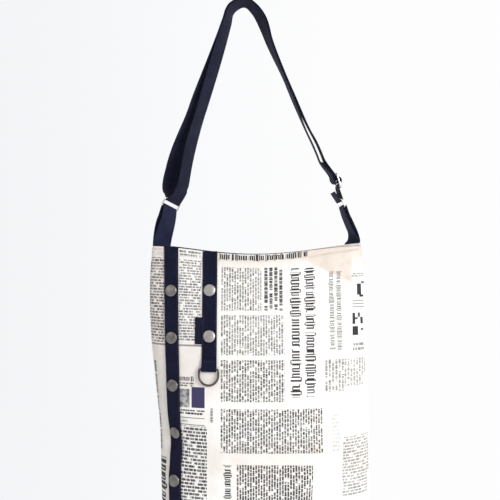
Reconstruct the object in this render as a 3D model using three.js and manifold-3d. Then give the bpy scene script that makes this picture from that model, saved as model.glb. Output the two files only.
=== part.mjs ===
// Newsprint shoulder bag with a doubled webbing strap, snap-studded webbing bands and a D-ring.
// Millimetres, +Z up. The viewer stands at -Y, so -Y is the bag's front and +Y its back.
// The origin is the point where the strap hangs: the middle of its underside at the top of its arch.

import * as THREE from "three";
import Module from "manifold-3d";

const wasm = await Module();
wasm.setup();

// Clearance between pieces that touch.
const GAP = 0.3;

// Bag body.
const BAG_WIDTH = 285; // across the mouth, seam to seam
const BAG_HEIGHT = 372; // from the mouth's corners to the bottom
const BAG_SHIFT = 16.8; // the mouth's middle hangs this far to the right of the hang point
const BAG_DROP = 333.5; // from the hang point to the mouth's corners
const FRONT_DEPTH = 52; // how far the front swells out from the side seams
const BACK_DEPTH = 24; // the back swells less
const WALL = 2; // printed canvas with its lining
const MOUTH_SAG = 11.5; // how far the middle of the mouth's edge hangs below its corners
const SAG_REACH = 150; // the sag dies out over this height
const BACK_RISE = 4; // the back's edge stands higher at the right corner
const BOTTOM_ROUND = 30; // radius of the turn from the walls into the bottom
const TOP_BAND_HEIGHT = 12; // folded band along the mouth
const TOP_BAND_THICKNESS = 2.8;
const TOP_BAND_TAPER = 0.7; // share of its height that it loses towards the right corner

// Webbing bands sewn on the front, and what sits on them.
const BAND_WIDTH = 20;
const BAND_THICKNESS = 1.4;
const LONG_BAND_INSET = 26.3; // from the cloth's left edge to the long band's middle, at the mouth
const LONG_BAND_LEAN = 5; // the long band comes this much nearer to the middle at its lower end
const SHORT_BAND_SIDE = 62.9;
const SHORT_BAND_LENGTH = 162.3; // from the mouth to the D-ring's bar
const SHORT_BAND_TAIL = 12; // turned-up end that holds the D-ring
const SNAP_DIAMETER = 16;
const SNAP_HEIGHT = 2.6;
const FIRST_SNAP = 59.5; // from the mouth's edge down to the long band's first snap
const SHORT_BAND_SNAPS_RISE = 3.2; // the short band's snaps sit this much higher
const LAST_SNAP_RISE = 30.5; // from where the cloth turns under up to the long band's last snap
const LONG_BAND_SNAPS = 5;
const SHORT_BAND_SNAPS = 2;
const LABEL_WIDTH = 9;
const LABEL_HEIGHT = 36;
const LABEL_TOP = 94;
const LABEL_THICKNESS = 0.9;

// D-ring.
const D_RING_WIRE = 3;
const D_RING_INNER_WIDTH = 22.5;
const D_RING_SIDE = 8; // straight side between the bar and the bow

// Strap, tabs and their metal.
const STRAP_WIDTH = 25;
const STRAP_THICKNESS = 1.4;
const STRAP_REACH_LEFT = 99; // from the hang point sideways to the left ring's upper bar
const STRAP_DROP_LEFT = 271.7; // and down to it
const STRAP_REACH_RIGHT = 127.5; // from the hang point sideways to the slider's middle
const STRAP_DROP_RIGHT = 244; // and down to it
const STRAP_SLACK = 26; // widest distance between the strap's two layers
const STRAP_DEPTH = 4; // rings and slider sit this far behind the hang point
const RING_WIRE = 2.5;
const RING_INNER_WIDTH = 26.6;
const RING_CORNER = 1.9; // radius of the wire's bends
const RING_INNER_HEIGHT = 8;
const SLIDER_SLOT = 7;
const SLIDER_LEAN = 17; // degrees from the vertical
const RIGHT_RING_BELOW_SLIDER = 26.5; // from the slider's middle to the right ring's upper bar
const RIGHT_RING_LEAN = 27; // degrees from the vertical
const RING_TAIL = 14; // sewn-back end above the right ring
const TAB_SEWN = 18; // how far a tab reaches down the back panel
const TAB_SEAT = 1.8; // a tab bridges the panel's curve, so it lies this far off it
const TAB_FOOT = 0.5; // from the mouth up to where a tab starts to turn towards its ring
const LEFT_TAB_LOOP = 7; // how far a tab's two layers bulge apart
const RIGHT_TAB_LOOP = 3;
const LEFT_TAB_BOW = 1; // a tab's way up bows out sideways by this much
const RIGHT_TAB_BOW = 2;

// The bag's outline, from the mouth down. Lengths are shares: down of BAG_HEIGHT, left and right of
// half BAG_WIDTH, front of FRONT_DEPTH, back of BACK_DEPTH. A higher bend makes a flatter wall
// with tighter sides.
const SECTIONS = [
  { down: 0.0, left: 1.0, right: 1.0, front: 0.36, back: 0.62, bend: 2.2, backBend: 2.8 },
  { down: 0.085, left: 1.024, right: 1.029, front: 0.46, back: 0.66, bend: 2.3, backBend: 2.8 },
  { down: 0.218, left: 1.029, right: 1.048, front: 0.62, back: 0.76, bend: 2.5, backBend: 2.7 },
  { down: 0.346, left: 1.014, right: 1.064, front: 0.76, back: 0.86, bend: 2.5, backBend: 2.6 },
  { down: 0.47, left: 0.98, right: 1.07, front: 0.88, back: 0.94, bend: 2.4, backBend: 2.5 },
  { down: 0.664, left: 0.93, right: 1.078, front: 0.98, back: 1.0, bend: 2.3, backBend: 2.5 },
  { down: 0.843, left: 0.918, right: 1.089, front: 1.0, back: 1.0, bend: 2.5, backBend: 2.5 },
  { down: 1.0, left: 0.905, right: 1.09, front: 0.95, back: 0.98, bend: 2.6, backBend: 2.6 },
];

// Dents and swells of the front. side is a share of half BAG_WIDTH from the middle line, down a
// share of BAG_HEIGHT, wide and tall are their reaches in the same shares, and out is a share of
// FRONT_DEPTH, below zero for a dent. lean tilts one: sideways per unit of its height.
const FRONT_FOLDS = [
  { side: -0.86, down: 0.72, wide: 0.16, tall: 0.07, lean: 0, out: -0.17 },
  { side: 0.62, down: 0.09, wide: 0.1, tall: 0.1, lean: 1.0, out: -0.09 },
  { side: 0.05, down: 0.05, wide: 0.4, tall: 0.035, lean: 0, out: 0.05 },
  { side: 0.42, down: 0.83, wide: 0.13, tall: 0.1, lean: -0.9, out: 0.08 },
  { side: 0.1, down: 0.87, wide: 0.2, tall: 0.06, lean: 0, out: -0.07 },
];
const NO_FOLDS = [];

// The strap's arch, from the slider up over the hang point and down to the left ring. reach and
// drop are shares of STRAP_REACH and STRAP_DROP on that side. apart is the distance between the two
// layers as a share of STRAP_SLACK. turn is how far the webbing's width turns from front-to-back
// towards the inside of the arch, in degrees, for the outer and the inner layer.
const RIGHT_ARCH = [
  { reach: 0.841, drop: 0.899, apart: 0.235, outer: -2, inner: -4.5 },
  { reach: 0.763, drop: 0.803, apart: 0.23, outer: -3.5, inner: -5 },
  { reach: 0.676, drop: 0.713, apart: 0.18, outer: -4.5, inner: -5 },
  { reach: 0.535, drop: 0.545, apart: 0.1, outer: 1, inner: 1 },
  { reach: 0.42, drop: 0.404, apart: 0.08, outer: 1, inner: 1 },
  { reach: 0.275, drop: 0.23, apart: 0.08, outer: 11, inner: 11 },
  { reach: 0.2, drop: 0.117, apart: 0.08, outer: 22, inner: 22 },
];
const ARCH_CROWN = [
  { reach: 0.15, drop: 0.04, apart: 0.08, outer: 16, inner: 16 },
  { reach: 0, drop: -0.008, apart: 0.08, outer: 8, inner: 8 },
  { reach: -0.185, drop: 0.034, apart: 0.08, outer: 15, inner: 15 },
];
const LEFT_ARCH = [
  { reach: 0.245, drop: 0.1, apart: 0.08, outer: 22, inner: 22 },
  { reach: 0.315, drop: 0.18, apart: 0.1, outer: 26, inner: 28 },
  { reach: 0.455, drop: 0.332, apart: 0.25, outer: 29, inner: 31 },
  { reach: 0.6, drop: 0.486, apart: 0.42, outer: 33, inner: 28 },
  { reach: 0.697, drop: 0.593, apart: 0.48, outer: 37, inner: 26 },
  { reach: 0.815, drop: 0.712, apart: 0.72, outer: 46, inner: 30 },
  { reach: 0.922, drop: 0.832, apart: 1.05, outer: 62, inner: 29 },
  { reach: 0.968, drop: 0.925, apart: 1.08, outer: 56, inner: 31 },
  { reach: 0.96, drop: 0.97, apart: 0.68, outer: 44, inner: 38 },
];
const LEFT_RING_TURN = 42;
const RIGHT_RING_TURN = 5;
const SLIDER_TURN = 3;
const ARCH_STATIONS = 42;

// The tabs between the bag and the rings. rise is a share of the way up from the mouth to the ring,
// apart a share of the bulge, left and right say how far the webbing has swung from the back panel's
// direction to the ring's, and bow is a share of the sideways bow.
const TAB_ROWS = [
  { rise: 0.0, apart: 0.0, left: 0.0, right: 0.3, bow: 0.0 },
  { rise: 0.12, apart: 0.3, left: 0.15, right: 0.62, bow: 0.6 },
  { rise: 0.28, apart: 0.7, left: 0.3, right: 0.84, bow: 0.95 },
  { rise: 0.5, apart: 1.0, left: 0.55, right: 0.93, bow: 1.0 },
  { rise: 0.72, apart: 0.9, left: 0.8, right: 0.98, bow: 0.7 },
  { rise: 0.84, apart: 0.6, left: 0.93, right: 1.0, bow: 0.4 },
];

const BACKWARD = new THREE.Vector3(0, 1, 0);
const HALF_WIDTH = BAG_WIDTH / 2;
const BOTTOM_TURN = (BOTTOM_ROUND + FRONT_DEPTH) * 0.8; // fabric length of the turn to the bottom seam
const WALL_LENGTH = BAG_HEIGHT - BOTTOM_ROUND;
const BOTTOM_SQUARENESS = 0.6; // below 1 the bottom is flatter than an ellipse

// Smooth value of every column of a table at a key, through its rows.
function readTable(rows, key, at) {
  let i = rows.findIndex((row, index) => index > 0 && at <= row[key]);
  if (i < 0) i = rows.length - 1;
  const [p0, p1, p2, p3] = [rows[Math.max(i - 2, 0)], rows[i - 1], rows[i], rows[Math.min(i + 1, rows.length - 1)]];
  const span = p2[key] - p1[key];
  const t = THREE.MathUtils.clamp((at - p1[key]) / span, 0, 1);
  const found = {};
  for (const name of Object.keys(p1)) {
    const slope = (a, b) => (b[key] === a[key] ? 0 : ((b[name] - a[name]) / (b[key] - a[key])) * span);
    const [m1, m2] = [slope(p0, p2), slope(p1, p3)];
    const [h1, h2] = [2 * t ** 3 - 3 * t ** 2 + 1, t ** 3 - 2 * t ** 2 + t];
    const [h3, h4] = [-2 * t ** 3 + 3 * t ** 2, t ** 3 - t ** 2];
    found[name] = h1 * p1[name] + h2 * m1 + h3 * p2[name] + h4 * m2;
  }
  return found;
}

// Half a cross-section of the bag, front or back, as points from the left seam to the right seam
// with their running length, measured from the middle line.
const CURVE_STEPS = 96;
function halfSection(front, down) {
  const row = readTable(SECTIONS, "down", down / BAG_HEIGHT);
  const [left, right] = [-row.left * HALF_WIDTH, row.right * HALF_WIDTH];
  const [middle, half] = [(left + right) / 2, (right - left) / 2];
  const depth = front ? -row.front * FRONT_DEPTH : row.back * BACK_DEPTH;
  const bend = front ? row.bend : row.backBend;
  const points = [];
  let length = 0;
  for (let i = 0; i <= CURVE_STEPS; i++) {
    const t = -Math.cos((Math.PI * i) / CURVE_STEPS);
    const point = { x: middle + half * t, y: depth * Math.sqrt(Math.max(0, 1 - Math.abs(t) ** bend)), t };
    if (i > 0) length += Math.hypot(point.x - points[i - 1].x, point.y - points[i - 1].y);
    points.push({ ...point, length });
  }
  const zero = points.findIndex((p) => p.x >= 0);
  const [a, b] = [points[zero - 1], points[zero]];
  const origin = a.length + ((b.length - a.length) * -a.x) / (b.x - a.x);
  return { points, origin, middle, half, leftEnd: -origin, rightEnd: length - origin };
}

function alongSection(section, side) {
  const at = side + section.origin;
  let i = section.points.findIndex((p) => p.length >= at);
  if (i < 1) i = i === 0 ? 1 : section.points.length - 1;
  const [a, b] = [section.points[i - 1], section.points[i]];
  const f = THREE.MathUtils.clamp((at - a.length) / (b.length - a.length), 0, 1);
  const span = Math.hypot(b.x - a.x, b.y - a.y);
  return {
    x: a.x + (b.x - a.x) * f,
    y: a.y + (b.y - a.y) * f,
    t: a.t + (b.t - a.t) * f,
    along: [(b.x - a.x) / span, (b.y - a.y) / span],
  };
}

// A point of the bag's outer surface and its outward direction. side is measured along the fabric
// from the middle line, down along the fabric from the mouth's edge.
function bagPoint(front, side, down) {
  const wallDown = Math.min(down, WALL_LENGTH);
  const section = halfSection(front, wallDown);
  const clampedSide = THREE.MathUtils.clamp(side, section.leftEnd, section.rightEnd);
  const { x, y, t, along } = alongSection(section, clampedSide);
  const facing = front ? 1 : -1;
  const turned = THREE.MathUtils.clamp((down - WALL_LENGTH) / BOTTOM_TURN, 0, 1) * (Math.PI / 2);
  const [c, s] = [Math.max(0, Math.cos(turned)), Math.sin(turned)];
  const narrowing = 1 - ((1 - c) * BOTTOM_ROUND) / section.half;
  let out = 0;
  for (const fold of front ? FRONT_FOLDS : NO_FOLDS) {
    const dy = (down / BAG_HEIGHT - fold.down) / fold.tall;
    const dx = (clampedSide / HALF_WIDTH - fold.side - fold.lean * dy * fold.tall) / fold.wide;
    out += fold.out * FRONT_DEPTH * Math.exp(-dx * dx - dy * dy);
  }
  const edge = 1 - Math.abs(t) ** 8; // folds die out at the side seams
  const normal = new THREE.Vector3(facing * along[1] * c, -facing * along[0] * c, -s);
  const sagging = Math.max(0, 1 - (t + 0.03) ** 2) ** 2 * Math.max(0, 1 - wallDown / SAG_REACH) ** 2;
  const rise = front ? 0 : BACK_RISE * Math.max(0, t) ** 3 * Math.max(0, 1 - wallDown / SAG_REACH);
  const point = new THREE.Vector3(
    BAG_SHIFT + section.middle + (x - section.middle) * narrowing,
    y * c ** BOTTOM_SQUARENESS,
    rise - BAG_DROP - wallDown - MOUTH_SAG * sagging - BOTTOM_ROUND * s,
  );
  point.addScaledVector(normal, out * edge * c);
  point.y = facing > 0 ? Math.min(point.y, -GAP / 2) : Math.max(point.y, GAP / 2);
  return { point, normal: normal.normalize() };
}

// The surface lifted by a height along its outward direction, kept on its own side of the seam.
function lifted(front, side, down, height) {
  const { point, normal } = bagPoint(front, side, down);
  point.addScaledVector(normal, height);
  point.y = front ? Math.min(point.y, -GAP / 2) : Math.max(point.y, GAP / 2);
  return point;
}

// Closes a mesh given as points and triangles, and turns it so that its faces point out.
function closedGeometry(points, triangles) {
  let volume = 0;
  for (const [a, b, c] of triangles) volume += points[a].dot(points[b].clone().cross(points[c]));
  const index = triangles.flatMap(([a, b, c]) => (volume < 0 ? [a, c, b] : [a, b, c]));
  const geometry = new THREE.BufferGeometry().setFromPoints(points);
  geometry.setIndex(index);
  geometry.computeVertexNormals();
  return geometry;
}

// A sheet between two grids of points with the same rows and columns.
function sheetGeometry(outer, inner) {
  const [rows, columns] = [outer.length, outer[0].length];
  const points = [...outer.flat(), ...inner.flat()];
  const at = (layer, r, c) => layer * rows * columns + r * columns + c;
  const triangles = [];
  const quad = (a, b, c, d) => triangles.push([a, b, c], [a, c, d]);
  for (let r = 0; r + 1 < rows; r++)
    for (let c = 0; c + 1 < columns; c++) {
      quad(at(0, r, c), at(0, r, c + 1), at(0, r + 1, c + 1), at(0, r + 1, c));
      triangles.push([at(1, r, c), at(1, r + 1, c + 1), at(1, r, c + 1)]);
      triangles.push([at(1, r, c), at(1, r + 1, c), at(1, r + 1, c + 1)]);
    }
  for (let c = 0; c + 1 < columns; c++) {
    quad(at(0, 0, c + 1), at(0, 0, c), at(1, 0, c), at(1, 0, c + 1));
    quad(at(0, rows - 1, c), at(0, rows - 1, c + 1), at(1, rows - 1, c + 1), at(1, rows - 1, c));
  }
  for (let r = 0; r + 1 < rows; r++) {
    quad(at(0, r, 0), at(0, r + 1, 0), at(1, r + 1, 0), at(1, r, 0));
    quad(at(0, r + 1, columns - 1), at(0, r, columns - 1), at(1, r, columns - 1), at(1, r + 1, columns - 1));
  }
  return closedGeometry(points, triangles);
}

// Webbing along stations, each with a point, the direction of its width and its upward face.
function webbingGeometry(stations, width, thickness) {
  const layer = (sign) =>
    stations.map(({ point, across, face }) =>
      [-0.5, 0.5].map((share) =>
        point
          .clone()
          .addScaledVector(across, share * width)
          .addScaledVector(face, (sign * thickness) / 2),
      ),
    );
  return sheetGeometry(layer(1), layer(-1));
}

// A closed loop of round wire through points of a plane.
const WIRE_SIDES = 8;
function wireGeometry(points, planeNormal, radius) {
  const count = points.length;
  const rings = points.map((point, i) => {
    const before = point.clone().sub(points[(i + count - 1) % count]).normalize();
    const after = points[(i + 1) % count].clone().sub(point).normalize();
    const tangent = before.clone().add(after).normalize();
    const sideways = tangent.clone().cross(planeNormal).normalize();
    const miter = 1 / tangent.dot(before);
    return Array.from({ length: WIRE_SIDES }, (_, k) => {
      const angle = ((k + 0.5) * 2 * Math.PI) / WIRE_SIDES;
      return point
        .clone()
        .addScaledVector(sideways, Math.cos(angle) * radius * miter)
        .addScaledVector(planeNormal, Math.sin(angle) * radius);
    });
  });
  const triangles = [];
  for (let i = 0; i < count; i++)
    for (let k = 0; k < WIRE_SIDES; k++) {
      const [j, m] = [(i + 1) % count, (k + 1) % WIRE_SIDES];
      triangles.push([i * WIRE_SIDES + k, j * WIRE_SIDES + k, j * WIRE_SIDES + m]);
      triangles.push([i * WIRE_SIDES + k, j * WIRE_SIDES + m, i * WIRE_SIDES + m]);
    }
  return closedGeometry(rings.flat(), triangles);
}

// Points of a rounded rectangle about the origin, as [x, y], with arcs of a few steps.
function roundedRectangle(halfWidth, halfHeight, radius, steps) {
  const corners = [
    [halfWidth - radius, halfHeight - radius, 0],
    [radius - halfWidth, halfHeight - radius, 90],
    [radius - halfWidth, radius - halfHeight, 180],
    [halfWidth - radius, radius - halfHeight, 270],
  ];
  return corners.flatMap(([x, y, start]) =>
    Array.from({ length: steps + 1 }, (_, i) => {
      const angle = THREE.MathUtils.degToRad(start + (90 * i) / steps);
      return [x + radius * Math.cos(angle), y + radius * Math.sin(angle)];
    }),
  );
}

// A frame is an origin with three directions: across, up and face.
const inFrame = (frame, across, up, face = 0) =>
  frame.origin
    .clone()
    .addScaledVector(frame.across, across)
    .addScaledVector(frame.up, up)
    .addScaledVector(frame.face, face);

function toManifold(geometry) {
  return new wasm.Manifold(
    new wasm.Mesh({
      numProp: 3,
      vertProperties: new Float32Array(geometry.attributes.position.array),
      triVerts: new Uint32Array(geometry.index.array),
    }),
  );
}

function fromManifold(solid) {
  const mesh = solid.getMesh();
  const geometry = new THREE.BufferGeometry();
  geometry.setAttribute("position", new THREE.BufferAttribute(new Float32Array(mesh.vertProperties), 3));
  geometry.setIndex(new THREE.BufferAttribute(new Uint32Array(mesh.triVerts), 1));
  geometry.computeVertexNormals();
  return geometry;
}

const materials = {
  print: new THREE.MeshStandardMaterial({ color: 0xe9e1d2, roughness: 0.85, metalness: 0 }),
  webbing: new THREE.MeshStandardMaterial({ color: 0x15172a, roughness: 0.7, metalness: 0 }),
  nickel: new THREE.MeshStandardMaterial({ color: 0xd6d4ce, roughness: 0.25, metalness: 1 }),
  agedNickel: new THREE.MeshStandardMaterial({ color: 0x8d8a84, roughness: 0.42, metalness: 1 }),
};

const bag = new THREE.Group();
function addPiece(name, geometry, material) {
  const mesh = new THREE.Mesh(geometry, material);
  mesh.name = name;
  bag.add(mesh);
  return mesh;
}

// Where the fabric's columns and rows of points run. The columns follow the bands' edges, so that a
// band lies on the same facets as the panel under it.
const longBandSide = (down) => LONG_BAND_INSET - HALF_WIDTH + (LONG_BAND_LEAN * down) / WALL_LENGTH;
const bandColumns = (middle) => [middle - BAND_WIDTH / 2, middle, middle + BAND_WIDTH / 2];
const steps = (from, to, count) => Array.from({ length: count }, (_, i) => from + ((to - from) * (i + 1)) / (count + 1));

function frontColumns(down) {
  const { leftEnd, rightEnd } = halfSection(true, Math.min(down, WALL_LENGTH));
  const long = bandColumns(longBandSide(down));
  const short = bandColumns(-SHORT_BAND_SIDE);
  return [
    leftEnd,
    ...steps(leftEnd, long[0], 3),
    ...long,
    ...steps(long[2], short[0], 1),
    ...short,
    ...steps(short[2], rightEnd, 11),
    rightEnd,
  ];
}

function backColumns(down) {
  const { leftEnd, rightEnd } = halfSection(false, Math.min(down, WALL_LENGTH));
  return [leftEnd, ...steps(leftEnd, rightEnd, 15), rightEnd];
}

const FABRIC_LENGTH = WALL_LENGTH + BOTTOM_TURN;
const PANEL_START = TOP_BAND_HEIGHT + GAP;
const SHORT_BAND_END = SHORT_BAND_LENGTH - SHORT_BAND_TAIL;
const topRows = [0, TOP_BAND_HEIGHT];
const wallRows = [
  PANEL_START,
  ...steps(PANEL_START, SHORT_BAND_END, 5),
  SHORT_BAND_END,
  ...steps(SHORT_BAND_END, WALL_LENGTH, 8),
  WALL_LENGTH,
];
const bottomRows = [0.3, 0.55, 0.78, 0.93, 1].map((share) => WALL_LENGTH + share * BOTTOM_TURN);

// The top band narrows along the right part of the mouth.
function pastTaper(side, down) {
  const share = THREE.MathUtils.clamp(side / HALF_WIDTH, 0, 1) ** 2;
  return down > PANEL_START ? down : down - Math.min(down, TOP_BAND_HEIGHT) * TOP_BAND_TAPER * share;
}

function panelGeometry(front, rows, thickness) {
  const columnsAt = front ? frontColumns : backColumns;
  const layer = (height) =>
    rows.map((down) => columnsAt(down).map((side) => lifted(front, side, pastTaper(side, down), height)));
  return sheetGeometry(layer(0), layer(-thickness));
}

for (const [name, front] of [["front", true], ["back", false]]) {
  addPiece(name + "_panel", panelGeometry(front, [...wallRows, ...bottomRows], WALL), materials.print);
  addPiece(name + "_top_band", panelGeometry(front, topRows, TOP_BAND_THICKNESS), materials.print);
}

// The long band runs from the mouth down the wall and ends where the bottom turns under.
const BAND_MIDDLE = GAP + BAND_THICKNESS / 2;
const BAND_TOP = GAP + BAND_THICKNESS;
const longBandRows = [...topRows, ...wallRows, bottomRows[0], bottomRows[1]];
const longBandLayer = (height) =>
  longBandRows.map((down) => bandColumns(longBandSide(down)).map((side) => lifted(true, side, down, height)));
addPiece("long_band", sheetGeometry(longBandLayer(BAND_TOP), longBandLayer(GAP)), materials.webbing);

// A direction frame on the front's surface: across to the right, up, and face outwards.
const PROBE = 4;
function surfaceFrame(side, down, height) {
  const across = lifted(true, side + PROBE, down, 0).sub(lifted(true, side - PROBE, down, 0)).normalize();
  const up = lifted(true, side, down - PROBE, 0).sub(lifted(true, side, down + PROBE, 0));
  const face = across.clone().cross(up).normalize();
  return {
    origin: bagPoint(true, side, down).point.addScaledVector(face, height),
    across,
    up: face.clone().cross(across).normalize(),
    face,
  };
}

// The short band follows the panel, turns round the D-ring's bar and is sewn back on itself.
const D_BAR = D_RING_WIRE / 2;
const FOLD_RADIUS = D_BAR + GAP * 1.5 + BAND_THICKNESS / 2;
const D_BAR_HEIGHT = BAND_MIDDLE + FOLD_RADIUS + GAP;
const barFrame = surfaceFrame(-SHORT_BAND_SIDE, SHORT_BAND_LENGTH, D_BAR_HEIGHT);
const TAIL_MIDDLE = BAND_TOP + GAP + BAND_THICKNESS / 2;

function shortBandLayer(offset) {
  const columns = bandColumns(-SHORT_BAND_SIDE);
  const rows = [...topRows, ...wallRows.filter((down) => down <= SHORT_BAND_END)];
  const grid = rows.map((down) => columns.map((side) => lifted(true, side, down, BAND_MIDDLE - offset)));
  const across = [-0.5, 0, 0.5].map((share) => share * BAND_WIDTH);
  for (const degrees of [-90, -45, 0, 45, 90]) {
    const angle = THREE.MathUtils.degToRad(degrees);
    const radius = FOLD_RADIUS + offset;
    grid.push(across.map((x) => inFrame(barFrame, x, -radius * Math.cos(angle), radius * Math.sin(angle))));
  }
  grid.push(columns.map((side) => lifted(true, side, SHORT_BAND_END, TAIL_MIDDLE + offset)));
  return grid;
}
const halfBand = BAND_THICKNESS / 2;
addPiece("short_band", sheetGeometry(shortBandLayer(halfBand), shortBandLayer(-halfBand)), materials.webbing);

// The woven side label, beside the short band.
const LABEL_GAP = 0.4;
const labelColumns = [LABEL_WIDTH, 0].map((away) => -SHORT_BAND_SIDE - BAND_WIDTH / 2 - GAP - away);
const labelRows = [LABEL_TOP, ...steps(LABEL_TOP, LABEL_TOP + LABEL_HEIGHT, 2), LABEL_TOP + LABEL_HEIGHT];
const labelLayer = (height) =>
  labelRows.map((down) => labelColumns.map((side) => lifted(true, side, down, height)));
addPiece(
  "side_label",
  sheetGeometry(labelLayer(LABEL_GAP + LABEL_THICKNESS), labelLayer(LABEL_GAP)),
  materials.webbing,
);

// A snap's cap: a low drum with a rolled rim and a shallow dish.
const SNAP_SIDES = 16;
function snapGeometry(frame) {
  const radius = SNAP_DIAMETER / 2;
  const profile = [
    [0, 0],
    [0.92, 0],
    [1, 0.25],
    [1, 0.6],
    [0.93, 0.95],
    [0.84, 1],
    [0.74, 0.86],
    [0, 0.78],
  ].map(([r, h]) => new THREE.Vector2(r * radius, h * SNAP_HEIGHT));
  const cap = new THREE.LatheGeometry(profile, SNAP_SIDES);
  const basis = new THREE.Matrix4().makeBasis(frame.across, frame.face, frame.up.clone().negate());
  return cap.applyMatrix4(basis.setPosition(frame.origin));
}

const SNAP_ROOM = GAP + 0.1;
const SNAP_SPACING = (WALL_LENGTH - LAST_SNAP_RISE - FIRST_SNAP) / (LONG_BAND_SNAPS - 1);

// A cap's frame: it lies on the highest spot of the band below it.
function snapFrame(side, down) {
  const frame = surfaceFrame(side, down, 0);
  const rises = [0, 1, 2, 3, 4, 5, 6, 7].flatMap((i) =>
    [0.5, 1].map((share) => {
      const angle = (Math.PI * i) / 4;
      const reach = (share * SNAP_DIAMETER) / 2;
      const spot = lifted(true, side + reach * Math.cos(angle), down + reach * Math.sin(angle), BAND_TOP);
      return spot.sub(frame.origin).dot(frame.face);
    }),
  );
  frame.origin.addScaledVector(frame.face, Math.max(BAND_TOP, ...rises) + SNAP_ROOM);
  return frame;
}

const snapRuns = [
  { band: "long", count: LONG_BAND_SNAPS, side: longBandSide },
  { band: "short", count: SHORT_BAND_SNAPS, side: () => -SHORT_BAND_SIDE },
];
for (const { band, count, side } of snapRuns)
  for (let i = 0; i < count; i++) {
    const down = FIRST_SNAP + i * SNAP_SPACING - (band === "short" ? SHORT_BAND_SNAPS_RISE : 0);
    addPiece(`${band}_band_snap_${i + 1}`, snapGeometry(snapFrame(side(down), down)), materials.agedNickel);
  }

// The D-ring hangs from its straight bar inside the short band's fold.
const D_HALF = (D_RING_INNER_WIDTH + D_RING_WIRE) / 2;
const D_CORNER = 2.4;
const D_BOW_STEPS = 12;
const dRingOutline = [
  ...[0, 45, 90].map((degrees) => {
    const angle = THREE.MathUtils.degToRad(degrees);
    return [D_HALF - D_CORNER + D_CORNER * Math.sin(angle), -D_CORNER + D_CORNER * Math.cos(angle)];
  }),
  ...Array.from({ length: D_BOW_STEPS + 1 }, (_, i) => {
    const angle = (Math.PI * i) / D_BOW_STEPS;
    return [D_HALF * Math.cos(angle), -D_RING_SIDE - D_HALF * Math.sin(angle)];
  }),
  ...[90, 45, 0].map((degrees) => {
    const angle = THREE.MathUtils.degToRad(degrees);
    return [-D_HALF + D_CORNER - D_CORNER * Math.sin(angle), -D_CORNER + D_CORNER * Math.cos(angle)];
  }),
];
const dRingPoints = dRingOutline.map(([x, y]) => inFrame(barFrame, x, y));
addPiece("d_ring", wireGeometry(dRingPoints, barFrame.face, D_BAR), materials.agedNickel);

// The strap's arch as one curve, with the two layers' distance and turns along it.
const crownReach = (row) => ({ ...row, reach: row.reach * STRAP_REACH_LEFT, drop: row.drop * STRAP_DROP_LEFT });
const archRows = [
  ...RIGHT_ARCH.map((row) => ({ ...row, reach: row.reach * STRAP_REACH_RIGHT, drop: row.drop * STRAP_DROP_RIGHT })),
  ...ARCH_CROWN.map(crownReach),
  ...LEFT_ARCH.map((row) => ({ ...row, reach: -row.reach * STRAP_REACH_LEFT, drop: row.drop * STRAP_DROP_LEFT })),
].map((row, index) => ({ ...row, index }));
const leftBar = new THREE.Vector3(-STRAP_REACH_LEFT, STRAP_DEPTH, -STRAP_DROP_LEFT);
const slidersMiddle = new THREE.Vector3(STRAP_REACH_RIGHT, STRAP_DEPTH, -STRAP_DROP_RIGHT);
const CROWN_HEIGHT = STRAP_THICKNESS + GAP / 2; // from the underside to between the two layers
const archCurve = new THREE.CatmullRomCurve3(
  archRows.map(({ reach, drop }) => {
    const depth = (STRAP_DEPTH * Math.max(0, drop)) / STRAP_DROP_LEFT;
    return new THREE.Vector3(reach, depth, CROWN_HEIGHT - drop - (reach === 0 ? -drop : 0));
  }),
  false,
  "centripetal",
);

// The webbing's directions where it runs along a tangent: its width turns from backward to inward.
function webbingFrame(tangent, degrees) {
  const along = tangent.clone().normalize();
  const inward = along.clone().cross(BACKWARD).normalize();
  const turn = THREE.MathUtils.degToRad(degrees);
  const across = BACKWARD.clone().multiplyScalar(Math.cos(turn)).addScaledVector(inward, Math.sin(turn));
  across.addScaledVector(along, -across.dot(along)).normalize();
  const face = across.clone().cross(along).normalize(); // towards the inside of the arch
  if (face.dot(inward) < 0) face.negate();
  return { along, across, face };
}

const LAYER_PITCH = STRAP_THICKNESS + GAP;
function archStations(layer) {
  return Array.from({ length: ARCH_STATIONS + 1 }, (_, i) => {
    const share = i / ARCH_STATIONS;
    const { apart, outer, inner } = readTable(archRows, "index", share * (archRows.length - 1));
    const { across, face } = webbingFrame(archCurve.getTangent(share), layer > 0 ? inner : outer);
    const spread = Math.max(LAYER_PITCH, apart * STRAP_SLACK) / 2;
    return { point: archCurve.getPoint(share).addScaledVector(face, layer * spread), across, face };
  });
}

// Stations round a bar: from one face of the webbing past the bar's far side to the other face.
const WRAP_RADIUS = RING_WIRE / 2 + GAP + STRAP_THICKNESS / 2;
function wrapStations({ origin, across, up, face }, from, to, count) {
  return Array.from({ length: count + 1 }, (_, i) => {
    const angle = THREE.MathUtils.degToRad(from + ((to - from) * i) / count);
    const outward = face.clone().multiplyScalar(Math.cos(angle)).addScaledVector(up, Math.sin(angle));
    return { point: origin.clone().addScaledVector(outward, WRAP_RADIUS), across, face: outward };
  });
}

// Ring frames: the origin is the middle of the upper bar, across runs along it.
function barFrameAt(origin, leanDegrees, turn) {
  const lean = THREE.MathUtils.degToRad(leanDegrees);
  const down = new THREE.Vector3(Math.sin(lean), 0, -Math.cos(lean));
  const { across } = webbingFrame(down, turn);
  const up = down.clone().negate();
  return { origin, across, up, face: across.clone().cross(down).normalize() };
}
const LEFT_RING_LEAN = -27; // degrees from the vertical, below zero towards the left
const leftRing = barFrameAt(leftBar, LEFT_RING_LEAN, LEFT_RING_TURN);
const rightFacing = (frame) => ({ ...frame, across: frame.across.clone().negate(), face: frame.face.clone().negate() });

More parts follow.
